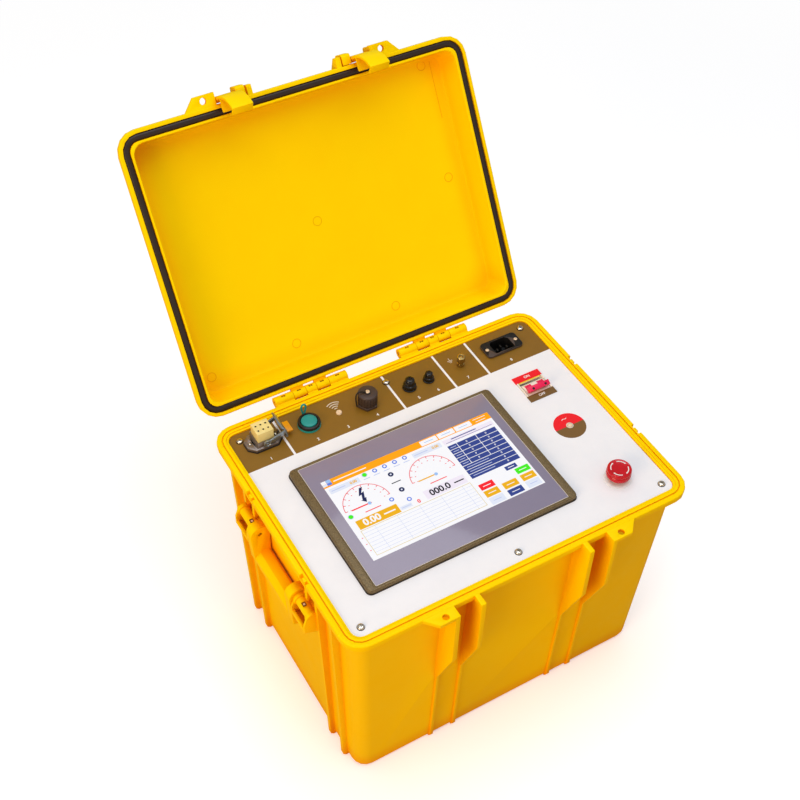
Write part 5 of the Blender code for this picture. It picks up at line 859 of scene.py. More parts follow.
@dataclass
class Studio:
    """Floor, light and camera."""

    floor_half: float = 6.0
    fade: tuple = (0.9, 1.9)    # distance over which the floor turns into the white backdrop
    camera_place: tuple = (-0.558038, -0.799963, 1.457983)
    camera_right: tuple = (0.86471798, -0.50178143, 0.02186814)
    camera_down: tuple = (-0.35529306, -0.64188923, -0.67951825)
    camera_ahead: tuple = (0.35500657, 0.57982205, -0.73333262)
    lens: float = 58.87
    sensor: float = 36.0
    daylight: float = 0.40
    backdrop: float = 1.0
    floor_colour: str = "F4F4F4"
    floor_glow: float = 0.34
    bounce: str = "D8B080"      # the floor's colour as the object sees it
    lamps: tuple = (
        ("overhead", (0.1, 0.1, 2.6), (0.0, 0.0, 0.2), 2.0, 34.0, "EEF4FF"),
        ("left_window", (-2.2, -0.9, 1.2), (0.0, 0.0, 0.25), 1.3, 34.0, "FFDFB8"),
        ("front_fill", (0.7, -2.4, 1.1), (0.0, 0.0, 0.3), 1.4, 5.5, "FFD8A8"),
    )

    def build(self) -> None:
        """Make the whole studio."""
        self.make_camera()
        self.make_world()
        self.make_floor()
        for row in self.lamps:
            self.make_lamp(*row)

    @staticmethod
    def seen_rays(tree: bpy.types.NodeTree) -> bpy.types.NodeSocket:
        """One for what the camera sees, straight or through glass.

        Args:
            tree: the node tree that needs to know.

        Returns:
            The socket that says so.
        """
        path = add_node(tree, "ShaderNodeLightPath")
        return add_node(tree, "ShaderNodeMath", links={0: path.outputs["Is Camera Ray"],
                                                       1: path.outputs["Is Transmission Ray"]},
                        operation="MAXIMUM").outputs[0]

    def make_camera(self) -> None:
        """The camera at the photograph's place."""
        view = bpy.data.cameras.new("camera")
        view.lens = self.lens
        view.sensor_width = self.sensor
        camera = bpy.data.objects.new("camera", view)
        bpy.context.scene.collection.objects.link(camera)
        axes = (Vector(self.camera_right), -Vector(self.camera_down), -Vector(self.camera_ahead))
        matrix = Matrix(axes).transposed().to_4x4()
        matrix.translation = Vector(self.camera_place)
        camera.matrix_world = matrix
        bpy.context.scene.camera = camera

    def make_world(self) -> None:
        """Soft even light, with a white backdrop for the camera and glass."""
        world = bpy.data.worlds.new("studio")
        world.use_nodes = True
        bpy.context.scene.world = world
        tree = world.node_tree
        tree.nodes.clear()
        seen = self.seen_rays(tree)
        soft = add_node(tree, "ShaderNodeBackground", {"Color": srgb("FFFFFF"), "Strength": self.daylight})
        plain = add_node(tree, "ShaderNodeBackground", {"Color": srgb("FFFFFF"), "Strength": self.backdrop})
        both = add_node(tree, "ShaderNodeMixShader", links={0: seen, 1: soft.outputs[0], 2: plain.outputs[0]})
        add_node(tree, "ShaderNodeOutputWorld", links={"Surface": both.outputs[0]})

    def make_floor(self) -> None:
        """A plain white floor that keeps the object's shadow and fades into the backdrop far away."""
        bpy.ops.mesh.primitive_grid_add(x_subdivisions=8, y_subdivisions=8, size=2 * self.floor_half)
        floor = settle(bpy.context.active_object, "floor")
        material = bpy.data.materials.new("painted_floor_white")
        material.use_nodes = True
        tree = material.node_tree
        tree.nodes.clear()
        seen = self.seen_rays(tree)
        shade = add_node(tree, "ShaderNodeBsdfDiffuse", {"Color": srgb(self.floor_colour)})
        glow = add_node(tree, "ShaderNodeEmission", {"Color": srgb("FFFFFF"), "Strength": self.floor_glow})
        near = add_node(tree, "ShaderNodeAddShader", links={0: shade.outputs[0], 1: glow.outputs[0]})
        spot = add_node(tree, "ShaderNodeTexCoord").outputs["Object"]
        reach = add_node(tree, "ShaderNodeVectorMath", links={0: spot}, operation="LENGTH").outputs["Value"]
        fade = add_node(tree, "ShaderNodeMapRange", {"From Min": self.fade[0], "From Max": self.fade[1]},
                        {"Value": reach}).outputs["Result"]
        far = add_node(tree, "ShaderNodeEmission", {"Color": srgb("FFFFFF"), "Strength": self.backdrop})
        bright = add_node(tree, "ShaderNodeMixShader", links={0: fade, 1: near.outputs[0], 2: far.outputs[0]})
        plain = add_node(tree, "ShaderNodeBsdfDiffuse", {"Color": srgb(self.bounce)})
        both = add_node(tree, "ShaderNodeMixShader", links={0: seen, 1: plain.outputs[0], 2: bright.outputs[0]})
        add_node(tree, "ShaderNodeOutputMaterial", links={"Surface": both.outputs[0]})
        floor.data.materials.append(material)

    def make_lamp(self, name: str, place: tuple, aim: tuple, size: float, power: float, tint: str) -> None:
        """One soft square lamp, aimed at a point.

        Args:
            name: the lamp's name.
            place: where it stands.
            aim: the point it faces.
            size: its side.
            power: its power in watts.
            tint: its colour.
        """
        light = bpy.data.lights.new(name, "AREA")
        light.size = size
        light.energy = power
        light.color = srgb(tint)[:3]
        lamp = bpy.data.objects.new(name, light)
        bpy.context.scene.collection.objects.link(lamp)
        lamp.location = place
        lamp.rotation_euler = (Vector(aim) - Vector(place)).to_track_quat("-Z", "Y").to_euler()


@dataclass
class MouldedCase:
    """Base, lid, handles and latches of the yellow case, and the lid's gasket."""

    edge: float = 0.0005
    lid_axis: tuple = (0.0, 0.1793, 0.3063)
    lid_open: float = math.radians(-121.0)
    lid_floor: float = 0.3434      # level of the lid's inner floor, lid closed
    mark_radius: float = 0.0055
    mark_width: float = 0.0005
    mark_rise: float = 0.0002
    marks: tuple = ((-0.0745, 0.131), (0.0654, 0.1311), (-0.1886, 0.1328),
                    (-0.0066, -0.0034), (0.1789, -0.0015), (0.1772, -0.1425))
    mould_line: tuple = ((0.1891, -0.1454), (0.1891, -0.0747))
    hinge_middle: float = 0.0856
    knuckles: tuple = ((-0.0365, Body.CASE), (-0.0155, Body.LID), (0.0, Body.CASE), (0.0155, Body.LID),
                       (0.0365, Body.CASE))
    slot_floor: float = 0.31092     # level of the knuckle's recess
    slot_size: tuple = (0.0048, 0.0024)
    slot_corner: float = 0.0004
    slot_depth: float = 0.0003
    slot_plug: tuple = (0.36, 0.5, 0.0005, 0.0002)      # shares of the size, rise and corner
    pocket: tuple = (0.0044, 0.0056)
    pocket_corner: float = 0.0006
    pocket_depth: float = 0.0006
    pocket_plug: tuple = (0.5, 0.42, 0.0004, 0.0003)    # shares of the size, rise and corner
    plug_shift: float = 0.0004
    pocket_level: float = 0.27045
    pockets: tuple = ((-0.2246, 0.0588), (-0.2246, -0.0705), (0.2246, 0.0588), (0.2246, -0.0705))

    def build(self) -> None:
        """Make every moulding and its marks."""
        rows = (
            ("base_shell", "case_base", Body.CASE),
            ("lid_shell", "case_lid", Body.LID),
            ("handle_left", "carry_handle_left", Body.HANDLE_LEFT),
            ("handle_right", "carry_handle_right", Body.HANDLE_RIGHT),
            ("latch_left", "case_latch_left", Body.LATCH_LEFT),
            ("latch_right", "case_latch_right", Body.LATCH_RIGHT),
        )
        for node, name, body in rows:
            piece = moulding(node, name, self.edge)
            dress(piece, YELLOW, body, replaces=(node,))
        gasket = moulding("lid_gasket", "case_gasket", self.edge)
        dress(gasket, GASKET, Body.LID, replaces=("lid_gasket",))
        self.make_lid_marks()
        self.make_hinge_recesses()
        self.make_pockets()

    def make_lid_marks(self) -> None:
        """Ejector rings and a mould line on the lid's inner floor."""
        low = self.lid_floor - self.mark_rise
        pieces = [sweep("ring", spot, self.mark_radius, self.mark_width, 0.0, math.tau, low, self.mark_rise, 40)
                  for spot in self.marks]
        (x0, y0), (x1, y1) = self.mould_line
        pieces.append(slab("line", ((x0 + x1) / 2, (y0 + y1) / 2), (self.mark_width, y1 - y0), low,
                           self.lid_floor))
        marks = unite(pieces, "lid_mould_marks")
        turn(marks, self.lid_open, "X", self.lid_axis)
        dress(marks, MARK, Body.LID)

    def make_pockets(self) -> None:
        """The pocket on top of each handle barrel, its floor a slab painted dark brown as shade, with its plug.
        """
        wide, deep, rise, corner = self.pocket_plug
        level = self.pocket_level
        for number, place in enumerate(self.pockets, 1):
            # Painted shade: the pocket's floor is a thin dark brown slab.
            floor = slab(f"barrel_pocket_shade_{number}", place, self.pocket, level - self.pocket_depth, level,
                         self.pocket_corner)
            dress(floor, PAINTED_RECESS_SHADE, Body.CASE, smooth=False)
            plug = slab(f"barrel_plug_{number}", (place[0], place[1] - self.plug_shift),
                        (self.pocket[0] * wide, self.pocket[1] * deep), level, level + rise, corner)
            dress(plug, LAMP, Body.CASE, smooth=False)

    def make_hinge_recesses(self) -> None:
        """The recess on top of each knuckle, its floor a slab painted dark brown as shade, with its plug."""
        y = self.lid_axis[1]
        wide, deep, rise, corner = self.slot_plug
        low, level = self.slot_floor, self.slot_floor + self.slot_depth
        for side, word in ((-1, "left"), (1, "right")):
            for number, (offset, body) in enumerate(self.knuckles, 1):
                spot = (side * self.hinge_middle + offset, y)
                name = f"hinge_recess_{word}_{number}"
                # Painted shade: the recess's floor is a thin dark brown slab.
                floor = slab(name, spot, self.slot_size, low, level, self.slot_corner)
                dress(floor, PAINTED_RECESS_SHADE, body, smooth=False)
                plug = slab(f"{name}_plug", spot, (self.slot_size[0] * wide, self.slot_size[1] * deep), level,
                            level + rise, corner)
                dress(plug, MARK, body, smooth=False)


@dataclass
class Screw:
    """A pan-head screw with a cross recess."""

    radius: float = 0.0040
    height: float = 0.0024
    cross: float = 0.0042
    cross_width: float = 0.0009
    cross_depth: float = 0.62   # share of the height
    profile: tuple = ((0.98, 0.0), (1.0, 0.12), (1.0, 0.35), (0.96, 0.58), (0.84, 0.80), (0.62, 0.94),
                      (0.30, 1.0))      # shares of radius and height

    def model(self, name: str, place: tuple, seat: float) -> bpy.types.Object:
        """Model one head on its seat.

        Args:
            name: the piece's name.
            place: plan place.
            seat: level of the head's underside.

        Returns:
            The head.
        """
        head = turning(name, place, shaped(self.profile, seat, self.radius, self.height), 32)
        top = seat + self.height
        carve(head, [slab("cross", place, size, top - self.height * self.cross_depth, top + self.height)
                     for size in ((self.cross, self.cross_width), (self.cross_width, self.cross))])
        return head

    def pair(self, prefix: str, centre: tuple, spacing: float, seat: float, finish: Finish) -> None:
        """Model and finish the two screws of a flange.

        Args:
            prefix: what their names start with.
            centre: plan place of the flange's middle.
            spacing: distance between them.
            seat: level of the heads' undersides.
            finish: their surface.
        """
        for side, word in ((-1, "left"), (1, "right")):
            place = (centre[0] + side * spacing / 2, centre[1])
            dress(self.model(f"{prefix}_screw_{word}", place, seat), finish, Body.CASE)


@dataclass
class FrontPanel:
    """The printed panel, its labels and its six screws."""

    figure: float = 0.0058
    figure_row: float = 0.1045
    # radius and rise of the thin black disc under each screw, a painted shadow
    washer: float = 0.0045
    washer_rise: float = 0.0003
    figure_places: tuple = (-0.1750, -0.1140, -0.0740, -0.0345, 0.0230, 0.0500, 0.0930, 0.1560)

    def build(self) -> None:
        """Dress the panel and fit its print and screws."""
        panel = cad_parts["front_panel"]
        panel.data.materials.clear()
        panel.data.materials.append(PANEL.make())
        low = film_level("front_panel")
        figures = [lettering("figure", str(number), (x, self.figure_row), self.figure, low)
                   for number, x in enumerate(self.figure_places, 1)]
        dress(unite(figures, "socket_numbers"), INK_WHITE, Body.CASE, smooth=False)
        self.make_screws()

    def make_screws(self) -> None:
        """Six screw heads in the places of the CAD screws, each on a thin black disc that is a painted shadow.
        """
        seat = film_level("front_panel")
        for number in range(1, 7):
            node = f"panel_screw_{number}"
            place = middle_of(node)
            # Painted shadow: a thin black disc round the foot of each head.
            washer = turning(f"screw_shadow_disc_{number}", place, [
                (self.washer, seat), (self.washer, seat + self.washer_rise)], 40)
            dress(washer, BLACK, Body.CASE, smooth=False)
            head = Screw().model(f"pan_screw_{number}", place, seat + self.washer_rise)
            dress(head, NICKEL, Body.CASE, replaces=(node,))


@dataclass
class TouchPanel:
    """The raised touch panel: seal, frame, cover glass and housing."""

    frame_edge: float = 0.0012
    glass_edge: float = 0.0004
    seal_proud: float = 0.0009
    seal_rise: float = 0.0010
    seal_corner: float = 0.0068
    seal_edge: float = 0.0004
    lip: float = 0.0006

    def build(self) -> None:
        """Make the panel's solid pieces."""
        seal = pad_under("screen_seal", "hmi_bezel", self.seal_proud, self.seal_rise, self.seal_corner,
                         edge=self.seal_edge)
        dress(seal, BLACK, Body.CASE)
        frame_piece = moulding("hmi_bezel", "screen_frame", self.frame_edge, 3)
        dress(frame_piece, BEZEL, Body.CASE, replaces=("hmi_bezel",))
        cover = moulding("hmi_glass", "screen_glass", self.glass_edge)
        dress(cover, GLASS, Body.CASE, replaces=("hmi_glass",))
        self.make_lip()
        housing = moulding("hmi_housing", "screen_housing", self.glass_edge)
        dress(housing, BLACK, Body.CASE, replaces=("hmi_housing",))

    def make_lip(self) -> None:
        """The thin bright edge between the frame and the cover glass."""
        low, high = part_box("hmi_glass")
        x, y = middle_of("hmi_glass")
        level = high[2] + SETTLE
        half = self.lip / 2
        upright, level_bar = (self.lip, high[1] - low[1]), (high[0] - low[0], self.lip)
        rows = (((low[0] + half, y), upright), ((high[0] - half, y), upright),
                ((x, low[1] + half), level_bar), ((x, high[1] - half), level_bar))
        bars = [slab("bar", centre, size, level, level + 2 * FILM) for centre, size in rows]
        dress(unite(bars, "screen_lip"), INK_SILVER, Body.CASE, smooth=False)


@dataclass
class Display:
    """The lit display: header, dials, read-outs, chart, table and keys. Its plan sizes are in mm."""

    layer: float = 0.00007
    area: tuple = (-145.3, 78.0, -82.5, 40.5)
    header: tuple = (-145.3, 78.0, 30.5, 40.5)
    tab_rows: tuple = ((-17.0, 5.0), (6.5, 28.5), (30.0, 52.0))
    tab_span: tuple = (31.5, 39.0)
    pale_boxes: tuple = ((-142.0, -104.0, 20.0, 27.5), (-34.0, 4.0, 20.0, 27.5))
    rings: tuple = ((-82.7, 26.8), (-69.8, 26.8), (-56.6, 26.8), (-43.4, 26.8), (-69.0, -28.0), (-86.6, -19.0))
    lights: tuple = ((-96.0, 26.8), (-138.3, -18.6))
    knobs: tuple = ((-69.5, 13.0), (-69.5, -12.0))
    dials: tuple = ((-112.4, -11.0), (-26.4, -11.0))
    ring_sizes: tuple = (2.9, 1.5)      # outer and inner radius
    light_sizes: tuple = (3.3, 2.7)
    knob_sizes: tuple = (3.3, 1.1)
    dial_radius: float = 28.0
    dial_line: float = 0.9
    dial_ticks: int = 9
    tick_width: float = 3.0
    tick_turn: float = 0.035
    tick_label: tuple = (0.7, 0.5)      # half width and half height
    dial_bars: tuple = (("black", (-76.0, -63.0, -1.0, 2.0), 1.2), ("red", (-122.0, -100.0, -23.5, -17.5), 1.1),
                        ("red", (-38.0, -14.0, -23.5, -17.5), 1.1))
    lamp_names: tuple = (-100.0, -87.0, -74.0, -61.0, -48.0)
    lamp_name_size: tuple = (8.0, 20.4, 21.4)
    needle_red: tuple = (-133.0, -108.0, -12.3, -10.7)
    needle_amber: tuple = (-47.0, -23.0, -12.3, -10.7)
    hub_radius: float = 2.2
    hub_back: tuple = (2.6, 1.0)        # how far each hub is from its needle's end
    hub_rise: float = 0.8
    arrow: tuple = ((-111.0, 13.0), (-116.5, 2.5), (-112.8, 3.4), (-115.4, -4.2), (-117.4, -3.6),
                    (-112.3, -8.6), (-109.6, -1.8), (-111.6, -2.6), (-108.4, 6.6), (-112.0, 5.4), (-107.0, 13.0))
    icon: float = 5.6
    icon_gap: float = 0.2
    icon_rows: tuple = ((4.4, 0.0), (8.0, 4.6))     # front and back of each row, from the header's back
    small_figures: tuple = (8.0, 5.0, 0.03)         # place from the box's right, height, boldness
    volts_figures: tuple = ((-119.5, -33.0), 12.5, 0.035)
    volts_unit: tuple = (-105.0, -89.0, -39.5, -26.5)
    amps_figures: tuple = ((-31.5, -32.8), 12.0, 0.025)
    amps_unit: tuple = (-14.0, 1.0, -39.0, -26.5)
    count_figure: tuple = ((-61.0, -36.0), 7.0, 0.03)
    volts_box: tuple = (-137.5, -85.5, -39.5, -26.5)
    amps_box: tuple = (-51.0, 2.0, -39.0, -26.5)
    count_box: tuple = (-84.0, -70.0, -38.0, -33.0)
    chart: tuple = (-138.5, 3.0, -78.0, -41.0)
    chart_line: float = 0.5
    chart_columns: tuple = (-121.0, -92.5, -64.0, -36.0, -7.8)
    chart_rows: tuple = (-45.5, -50.3, -55.0, -59.7, -64.5, -69.0, -73.6)
    grid_line: float = 0.28
    table: tuple = (8.3, 73.5, -38.0, 17.0)
    table_rows: int = 8
    table_columns: tuple = (20.5, 46.7)
    table_split_rows: int = 5
    table_line: float = 0.7
    table_figures: tuple = (32.7, 59.0, 3.6)        # the two columns' places and the height
    wide_cell: float = 45.0
    heading: tuple = (7.0, 75.0, 20.0, 27.0)
    keys: tuple = (
        ("red", (8.5, 27.0, -58.0, -49.0)), ("green", (57.5, 75.5, -57.5, -49.0)),
        ("amber", (8.5, 27.0, -69.5, -60.0)), ("amber", (33.0, 52.0, -69.5, -60.0)),
        ("amber", (57.5, 75.5, -69.5, -60.0)), ("navy", (33.0, 52.0, -80.5, -71.5)),
        ("pale", (8.5, 27.0, -81.0, -71.0)), ("pale", (57.5, 75.5, -81.0, -71.0)),
        ("navy", (49.0, 64.0, -47.0, -41.0)),
    )
    key_bar: tuple = (0.55, 0.9)    # share of a key's width, and height, of the bar on it
    corner: float = 1.0

    def __post_init__(self) -> None:
        """Start with no sheets."""
        self.sheets = {}
        self.base = film_level("hmi_glass")

    def keep(self, finish: Finish, piece: bpy.types.Object) -> None:
        """Lay a piece on the sheet of its colour."""
        self.sheets.setdefault(finish.name, (finish, []))[1].append(piece)

    def level(self, layer: int) -> float:
        """Level of a layer of the display."""
        return self.base + layer * self.layer

    def patch(self, finish: Finish, row: tuple, layer: int, corner: float = 0.0) -> None:
        """Lay a rectangle.

        Args:
            finish: its colour.
            row: left, right, front and back in mm.
            layer: layer of the display.
            corner: corner radius in mm.
        """
        left, right, front, back = row
        centre = ((left + right) / 2 * MM, (front + back) / 2 * MM)
        low = self.level(layer)
        self.keep(finish, slab("patch", centre, ((right - left) * MM, (back - front) * MM), low, low + FILM,
                               corner * MM, steps=3))

    def disc(self, finish: Finish, place: tuple, radius: float, layer: int) -> None:
        """Lay a disc.

        Args:
            finish: its colour.
            place: its middle in mm.
            radius: its radius in mm.
            layer: layer of the display.
        """
        low = self.level(layer)
        spot = (place[0] * MM, place[1] * MM)
        self.keep(finish, turning("disc", spot, [(radius * MM, low), (radius * MM, low + FILM)], 24))

    def arc(self, finish: Finish, place: tuple, radius: float, width: float, start: float, end: float) -> None:
        """Lay an arc on the first layer.

        Args:
            finish: its colour.
            place: its centre in mm.
            radius: its middle radius in mm.
            width: its width in mm.
            start: first angle.
            end: last angle.
        """
        spot = (place[0] * MM, place[1] * MM)
        self.keep(finish, sweep("arc", spot, radius * MM, width * MM, start, end, self.level(1), FILM,
                                max(2, round(abs(end - start) / math.radians(6)))))

    def figures(self, finish: Finish, words: str, place: tuple, height: float, heavy: float) -> None:
        """Lay figures on the third layer.

        Args:
            finish: their colour.
            words: the figures.
            place: their middle in mm.
            height: their height in mm.
            heavy: how much bolder than the plain face.
        """
        spot = (place[0] * MM, place[1] * MM)
        self.keep(finish, lettering("figures", words, spot, height * MM, self.level(3), heavy=heavy))

    def bar(self, finish: Finish, row: tuple, layer: int, share: float = 0.6, height: float = 0.9) -> None:
        """Lay a short bar in the middle of a rectangle, in place of a word.

        Args:
            finish: its colour.
            row: left, right, front and back of the rectangle in mm.
            layer: layer of the display.
            share: share of the rectangle's width.
            height: its height in mm.
        """
        left, right, front, back = row
        middle = ((left + right) / 2, (front + back) / 2)
        half = (right - left) * share / 2
        self.patch(finish, (middle[0] - half, middle[0] + half, middle[1] - height / 2, middle[1] + height / 2),
                   layer)

    def build(self) -> None:
        """Lay every sheet and join each colour into one piece."""
        self.patch(LIT_WHITE, self.area, 0)
        self.lay_header()
        self.lay_dials()
        self.lay_readings()
        self.lay_chart()
        self.lay_table()
        self.lay_keys()
        for name, (finish, pieces) in self.sheets.items():
            dress(unite(pieces, name), finish, Body.CASE, smooth=False)

    def lay_header(self) -> None:
        """The header bar, its icon and its three tabs."""
        left, right, front, back = self.header
        self.patch(LIT_ORANGE, self.header, 1)
        for (down, up), tints in zip(self.icon_rows, ((LIT_WHITE, LIT_SKY), (LIT_PALE, LIT_BLUE))):
            for start, tint in zip((left, left + self.icon + self.icon_gap), tints):
                self.patch(tint, (start, start + self.icon, back - down, back - up), 2)
        self.bar(LIT_WHITE, (left + 14.0, left + 56.0, front, back), 2, 1.0, 1.3)
        self.bar(LIT_WHITE, (right - 23.0, right - 4.0, front + 4.0, back), 2, 0.9, 0.7)
        self.bar(LIT_WHITE, (right - 23.0, right - 4.0, front, back - 4.0), 2, 0.7, 0.7)
        for start, end in self.tab_rows:
            row = (start, end, *self.tab_span)
            self.patch(LIT_WHITE, row, 2, 0.6)
            self.bar(LIT_SKY, row, 3, 0.55, 0.8)

    def lay_dials(self) -> None:
        """Two half-round dials, their needles and the lights round them."""
        for centre in self.dials:
            self.arc(LIT_ROSE, centre, self.dial_radius, self.dial_line, 0.0, math.pi)
            for number in range(self.dial_ticks + 1):
                angle = math.pi * number / self.dial_ticks
                start = min(max(angle - self.tick_turn / 2, 0.0), math.pi - self.tick_turn)
                inner = self.dial_radius - self.tick_width / 2
                self.arc(LIT_ROSE, centre, inner, self.tick_width, start, start + self.tick_turn)
                reach = self.dial_radius - 2.2 * self.tick_width
                spot = (centre[0] + reach * math.cos(angle), centre[1] + reach * math.sin(angle))
                wide, tall = self.tick_label
                self.patch(LIT_ROSE, (spot[0] - wide, spot[0] + wide, spot[1] - tall, spot[1] + tall), 1)
        self.patch(LIT_RED, self.needle_red, 2)
        self.patch(LIT_AMBER, self.needle_amber, 2)
        for needle, behind in zip((self.needle_red, self.needle_amber), self.hub_back):
            self.disc(LIT_SKY, (needle[1] - behind, needle[2] + self.hub_rise), self.hub_radius, 3)
        low = self.level(2)
        self.keep(LIT_DARK, plate("arrow", [(x * MM, y * MM) for x, y in self.arrow], low, low + FILM))
        for places, (outer, inner), (wide, small) in (
                (self.rings, (LIT_BLUE, LIT_WHITE), self.ring_sizes),
                (self.lights, (LIT_GRID, LIT_GREEN), self.light_sizes),
                (self.knobs, (LIT_DARK, LIT_PALE), self.knob_sizes)):
            for place in places:
                self.disc(outer, place, wide, 1)
                self.disc(inner, place, small, 2)
        for tint, row, height in self.dial_bars:
            self.bar(LIT_BLACK if tint == "black" else LIT_RED, row, 1, 0.9, height)
        length, front, back = self.lamp_name_size
        for start in self.lamp_names:
            self.patch(LIT_GRID, (start, start + length, front, back), 1)

    def lay_readings(self) -> None:
        """The boxes with figures."""
        inset, height, heavy = self.small_figures
        for row in self.pale_boxes:
            self.patch(LIT_PALE, row, 1, self.corner)
            left, right, front, back = row
            self.bar(LIT_GRID, (left, left + 22.0, front, back), 2, 0.8, 1.1)
            self.figures(LIT_AMBER, "0.00", (right - inset, (front + back) / 2), height, heavy)
        self.patch(LIT_AMBER, self.volts_box, 1)
        self.figures(LIT_WHITE, "0.00", *self.volts_figures)
        self.bar(LIT_WHITE, self.volts_unit, 2, 0.9, 1.8)
        self.patch(LIT_LAVENDER, self.amps_box, 1)
        self.figures(LIT_BLACK, "000.0", *self.amps_figures)
        self.bar(LIT_BLACK, self.amps_unit, 2, 0.85, 1.6)
        self.patch(LIT_PALE, self.count_box, 1)
        self.bar(LIT_GRID, self.count_box, 2, 0.8, 0.8)
        self.figures(LIT_RED, "0", *self.count_figure)

    def lay_chart(self) -> None:
        """The empty chart: a gold frame and a pale grid."""
        left, right, front, back = self.chart
        half = self.grid_line / 2
        for x in self.chart_columns:
            self.patch(LIT_GRID, (x - half, x + half, front, back), 1)
        for y in self.chart_rows:
            self.patch(LIT_GRID, (left, right, y - half, y + half), 1)
        line = self.chart_line
        for row in ((left, right, back - line, back), (left, right, front, front + line),
                    (left, left + line, front, back), (right - line, right, front, back)):
            self.patch(LIT_FRAME, row, 2)
        for y in self.chart_rows[1::2]:
            self.patch(LIT_ROSE, (left - 3.4, left - 1.8, y - 0.5, y + 0.5), 1)

    def lay_table(self) -> None:
        """The navy table with white lines and small figures."""
        left, right, front, back = self.table
        half = self.table_line / 2
        self.patch(LIT_LAVENDER, self.heading, 1)
        self.bar(LIT_NAVY, (left + 10.0, left + 44.0, self.heading[2] + 2.6, self.heading[3]), 2, 1.0, 1.2)
        self.bar(LIT_NAVY, (left, left + 66.0, self.heading[2], self.heading[3] - 4.0), 2, 0.95, 0.5)
        self.patch(LIT_NAVY, self.table, 1)
        pitch = (back - front) / self.table_rows
        for number in range(1, self.table_rows):
            y = back - number * pitch
            self.patch(LIT_WHITE, (left, right, y - half, y + half), 2)
        for x in self.table_columns:
            self.patch(LIT_WHITE, (x - half, x + half, back - self.table_split_rows * pitch, back), 2)
        first, second, height = self.table_figures
        for number in range(self.table_rows):
            y = back - (number + 0.5) * pitch
            if number < self.table_split_rows:
                self.figures(LIT_WHITE, "0", (first, y), height, BOLD)
                self.bar(LIT_GRID, (left, self.table_columns[0], y - 1, y + 1), 2, 0.62, 0.8)
            else:
                self.bar(LIT_GRID, (left, self.wide_cell, y - 1, y + 1), 2, 0.8, 0.8)
            self.figures(LIT_WHITE, "0", (second, y), height, BOLD)

    def lay_keys(self) -> None:
        """The coloured keys, each with a short bar."""
        tints = {"red": LIT_RED, "green": LIT_GREEN, "amber": LIT_AMBER, "navy": LIT_NAVY, "pale": LIT_PALE}
        share, height = self.key_bar
        for tint, row in self.keys:
            self.patch(tints[tint], row, 1)
            self.bar(LIT_GRID if tint == "pale" else LIT_WHITE, row, 2, share, height)


@dataclass
class OutputConnector:
    """The keyed output connector: housing, six-way insert, locking lever and its tab."""

    edge: float = 0.0004
    screw_spacing: float = 0.033
    screw: tuple = (0.0021, 0.0014, 0.0026, 0.0006)     # head radius and height, cross length and width
    flange_rise: float = 0.0040
    gasket_proud: float = 0.0006
    gasket_rise: float = 0.0008
    chamfer: float = 0.0085
    pitch: tuple = (0.0062, 0.0078)
    # radius, drop and depth of the painted shade disc in each contact hole
    contact: float = 0.00105
    contact_drop: float = 0.0003
    contact_depth: float = 0.0004
    pivot: tuple = (-0.172, 0.3133)     # place across and level of the lever's axis
    hub: tuple = ((0.0046, 0.0), (0.0048, 0.0002), (0.0048, 0.0006), (0.0044, 0.0009), (0.0034, 0.0009),
                  (0.0031, 0.0004), (0.0021, 0.0004), (0.0019, 0.0011), (0.0012, 0.0013))

    def build(self) -> None:
        """Make the connector's pieces."""
        rows = (
            ("output_housing", "output_connector_housing", ZINC, Body.CASE, "zinc"),
            ("output_insert", "output_connector_insert", CREAM, Body.CASE, "cream_plastic"),
            ("output_lever", "output_connector_lever", PLATED, Body.LEVER, "lever_steel"),
            ("output_tab", "output_lever_tab", AMBER, Body.LEVER, "amber_plastic"),
        )
        for node, name, finish, body, slot in rows:
            dress(moulding(node, name, self.edge), finish, body, replaces=(node,))
        pad = pad_under("output_connector_gasket", "output_housing", self.gasket_proud, self.gasket_rise,
                        self.chamfer, steps=1)
        dress(pad, BLACK, Body.CASE)
        centre = middle_of("output_housing")
        top = panel_top() + self.flange_rise + SETTLE
        Screw(*self.screw).pair("output", centre, self.screw_spacing, top, NICKEL)
        self.make_contacts(centre)
        self.make_hubs()

    def make_contacts(self, centre: tuple) -> None:
        """A disc painted near-black as shade in each way of the insert, standing for its deep contact hole.

        Args:
            centre: plan place of the insert's middle.
        """
        level = level_of("output_insert")[1] - self.contact_drop
        profile = [(self.contact, level - self.contact_depth), (self.contact, level)]
        hole_shades = [turning("contact", (centre[0] + across * self.pitch[0], centre[1] + along * self.pitch[1]),
                            profile, 16) for across in (-1, 0, 1) for along in (-0.5, 0.5)]
        dress(unite(hole_shades, "output_contact_hole_shade"), PAINTED_HOLE_SHADE, Body.CASE, smooth=False)

    def make_hubs(self) -> None:
        """The stepped hub of the lever on each side of the housing."""
        low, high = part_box("output_lever")
        for face, angle, name in ((low[1], math.pi / 2, "front"), (high[1], -math.pi / 2, "back")):
            hub = turning(f"output_hub_{name}", (self.pivot[0], face), shaped(self.hub, self.pivot[1]), 40)
            turn(hub, angle, "X", (self.pivot[0], face, self.pivot[1]))
            dress(hub, PLATED, Body.LEVER)


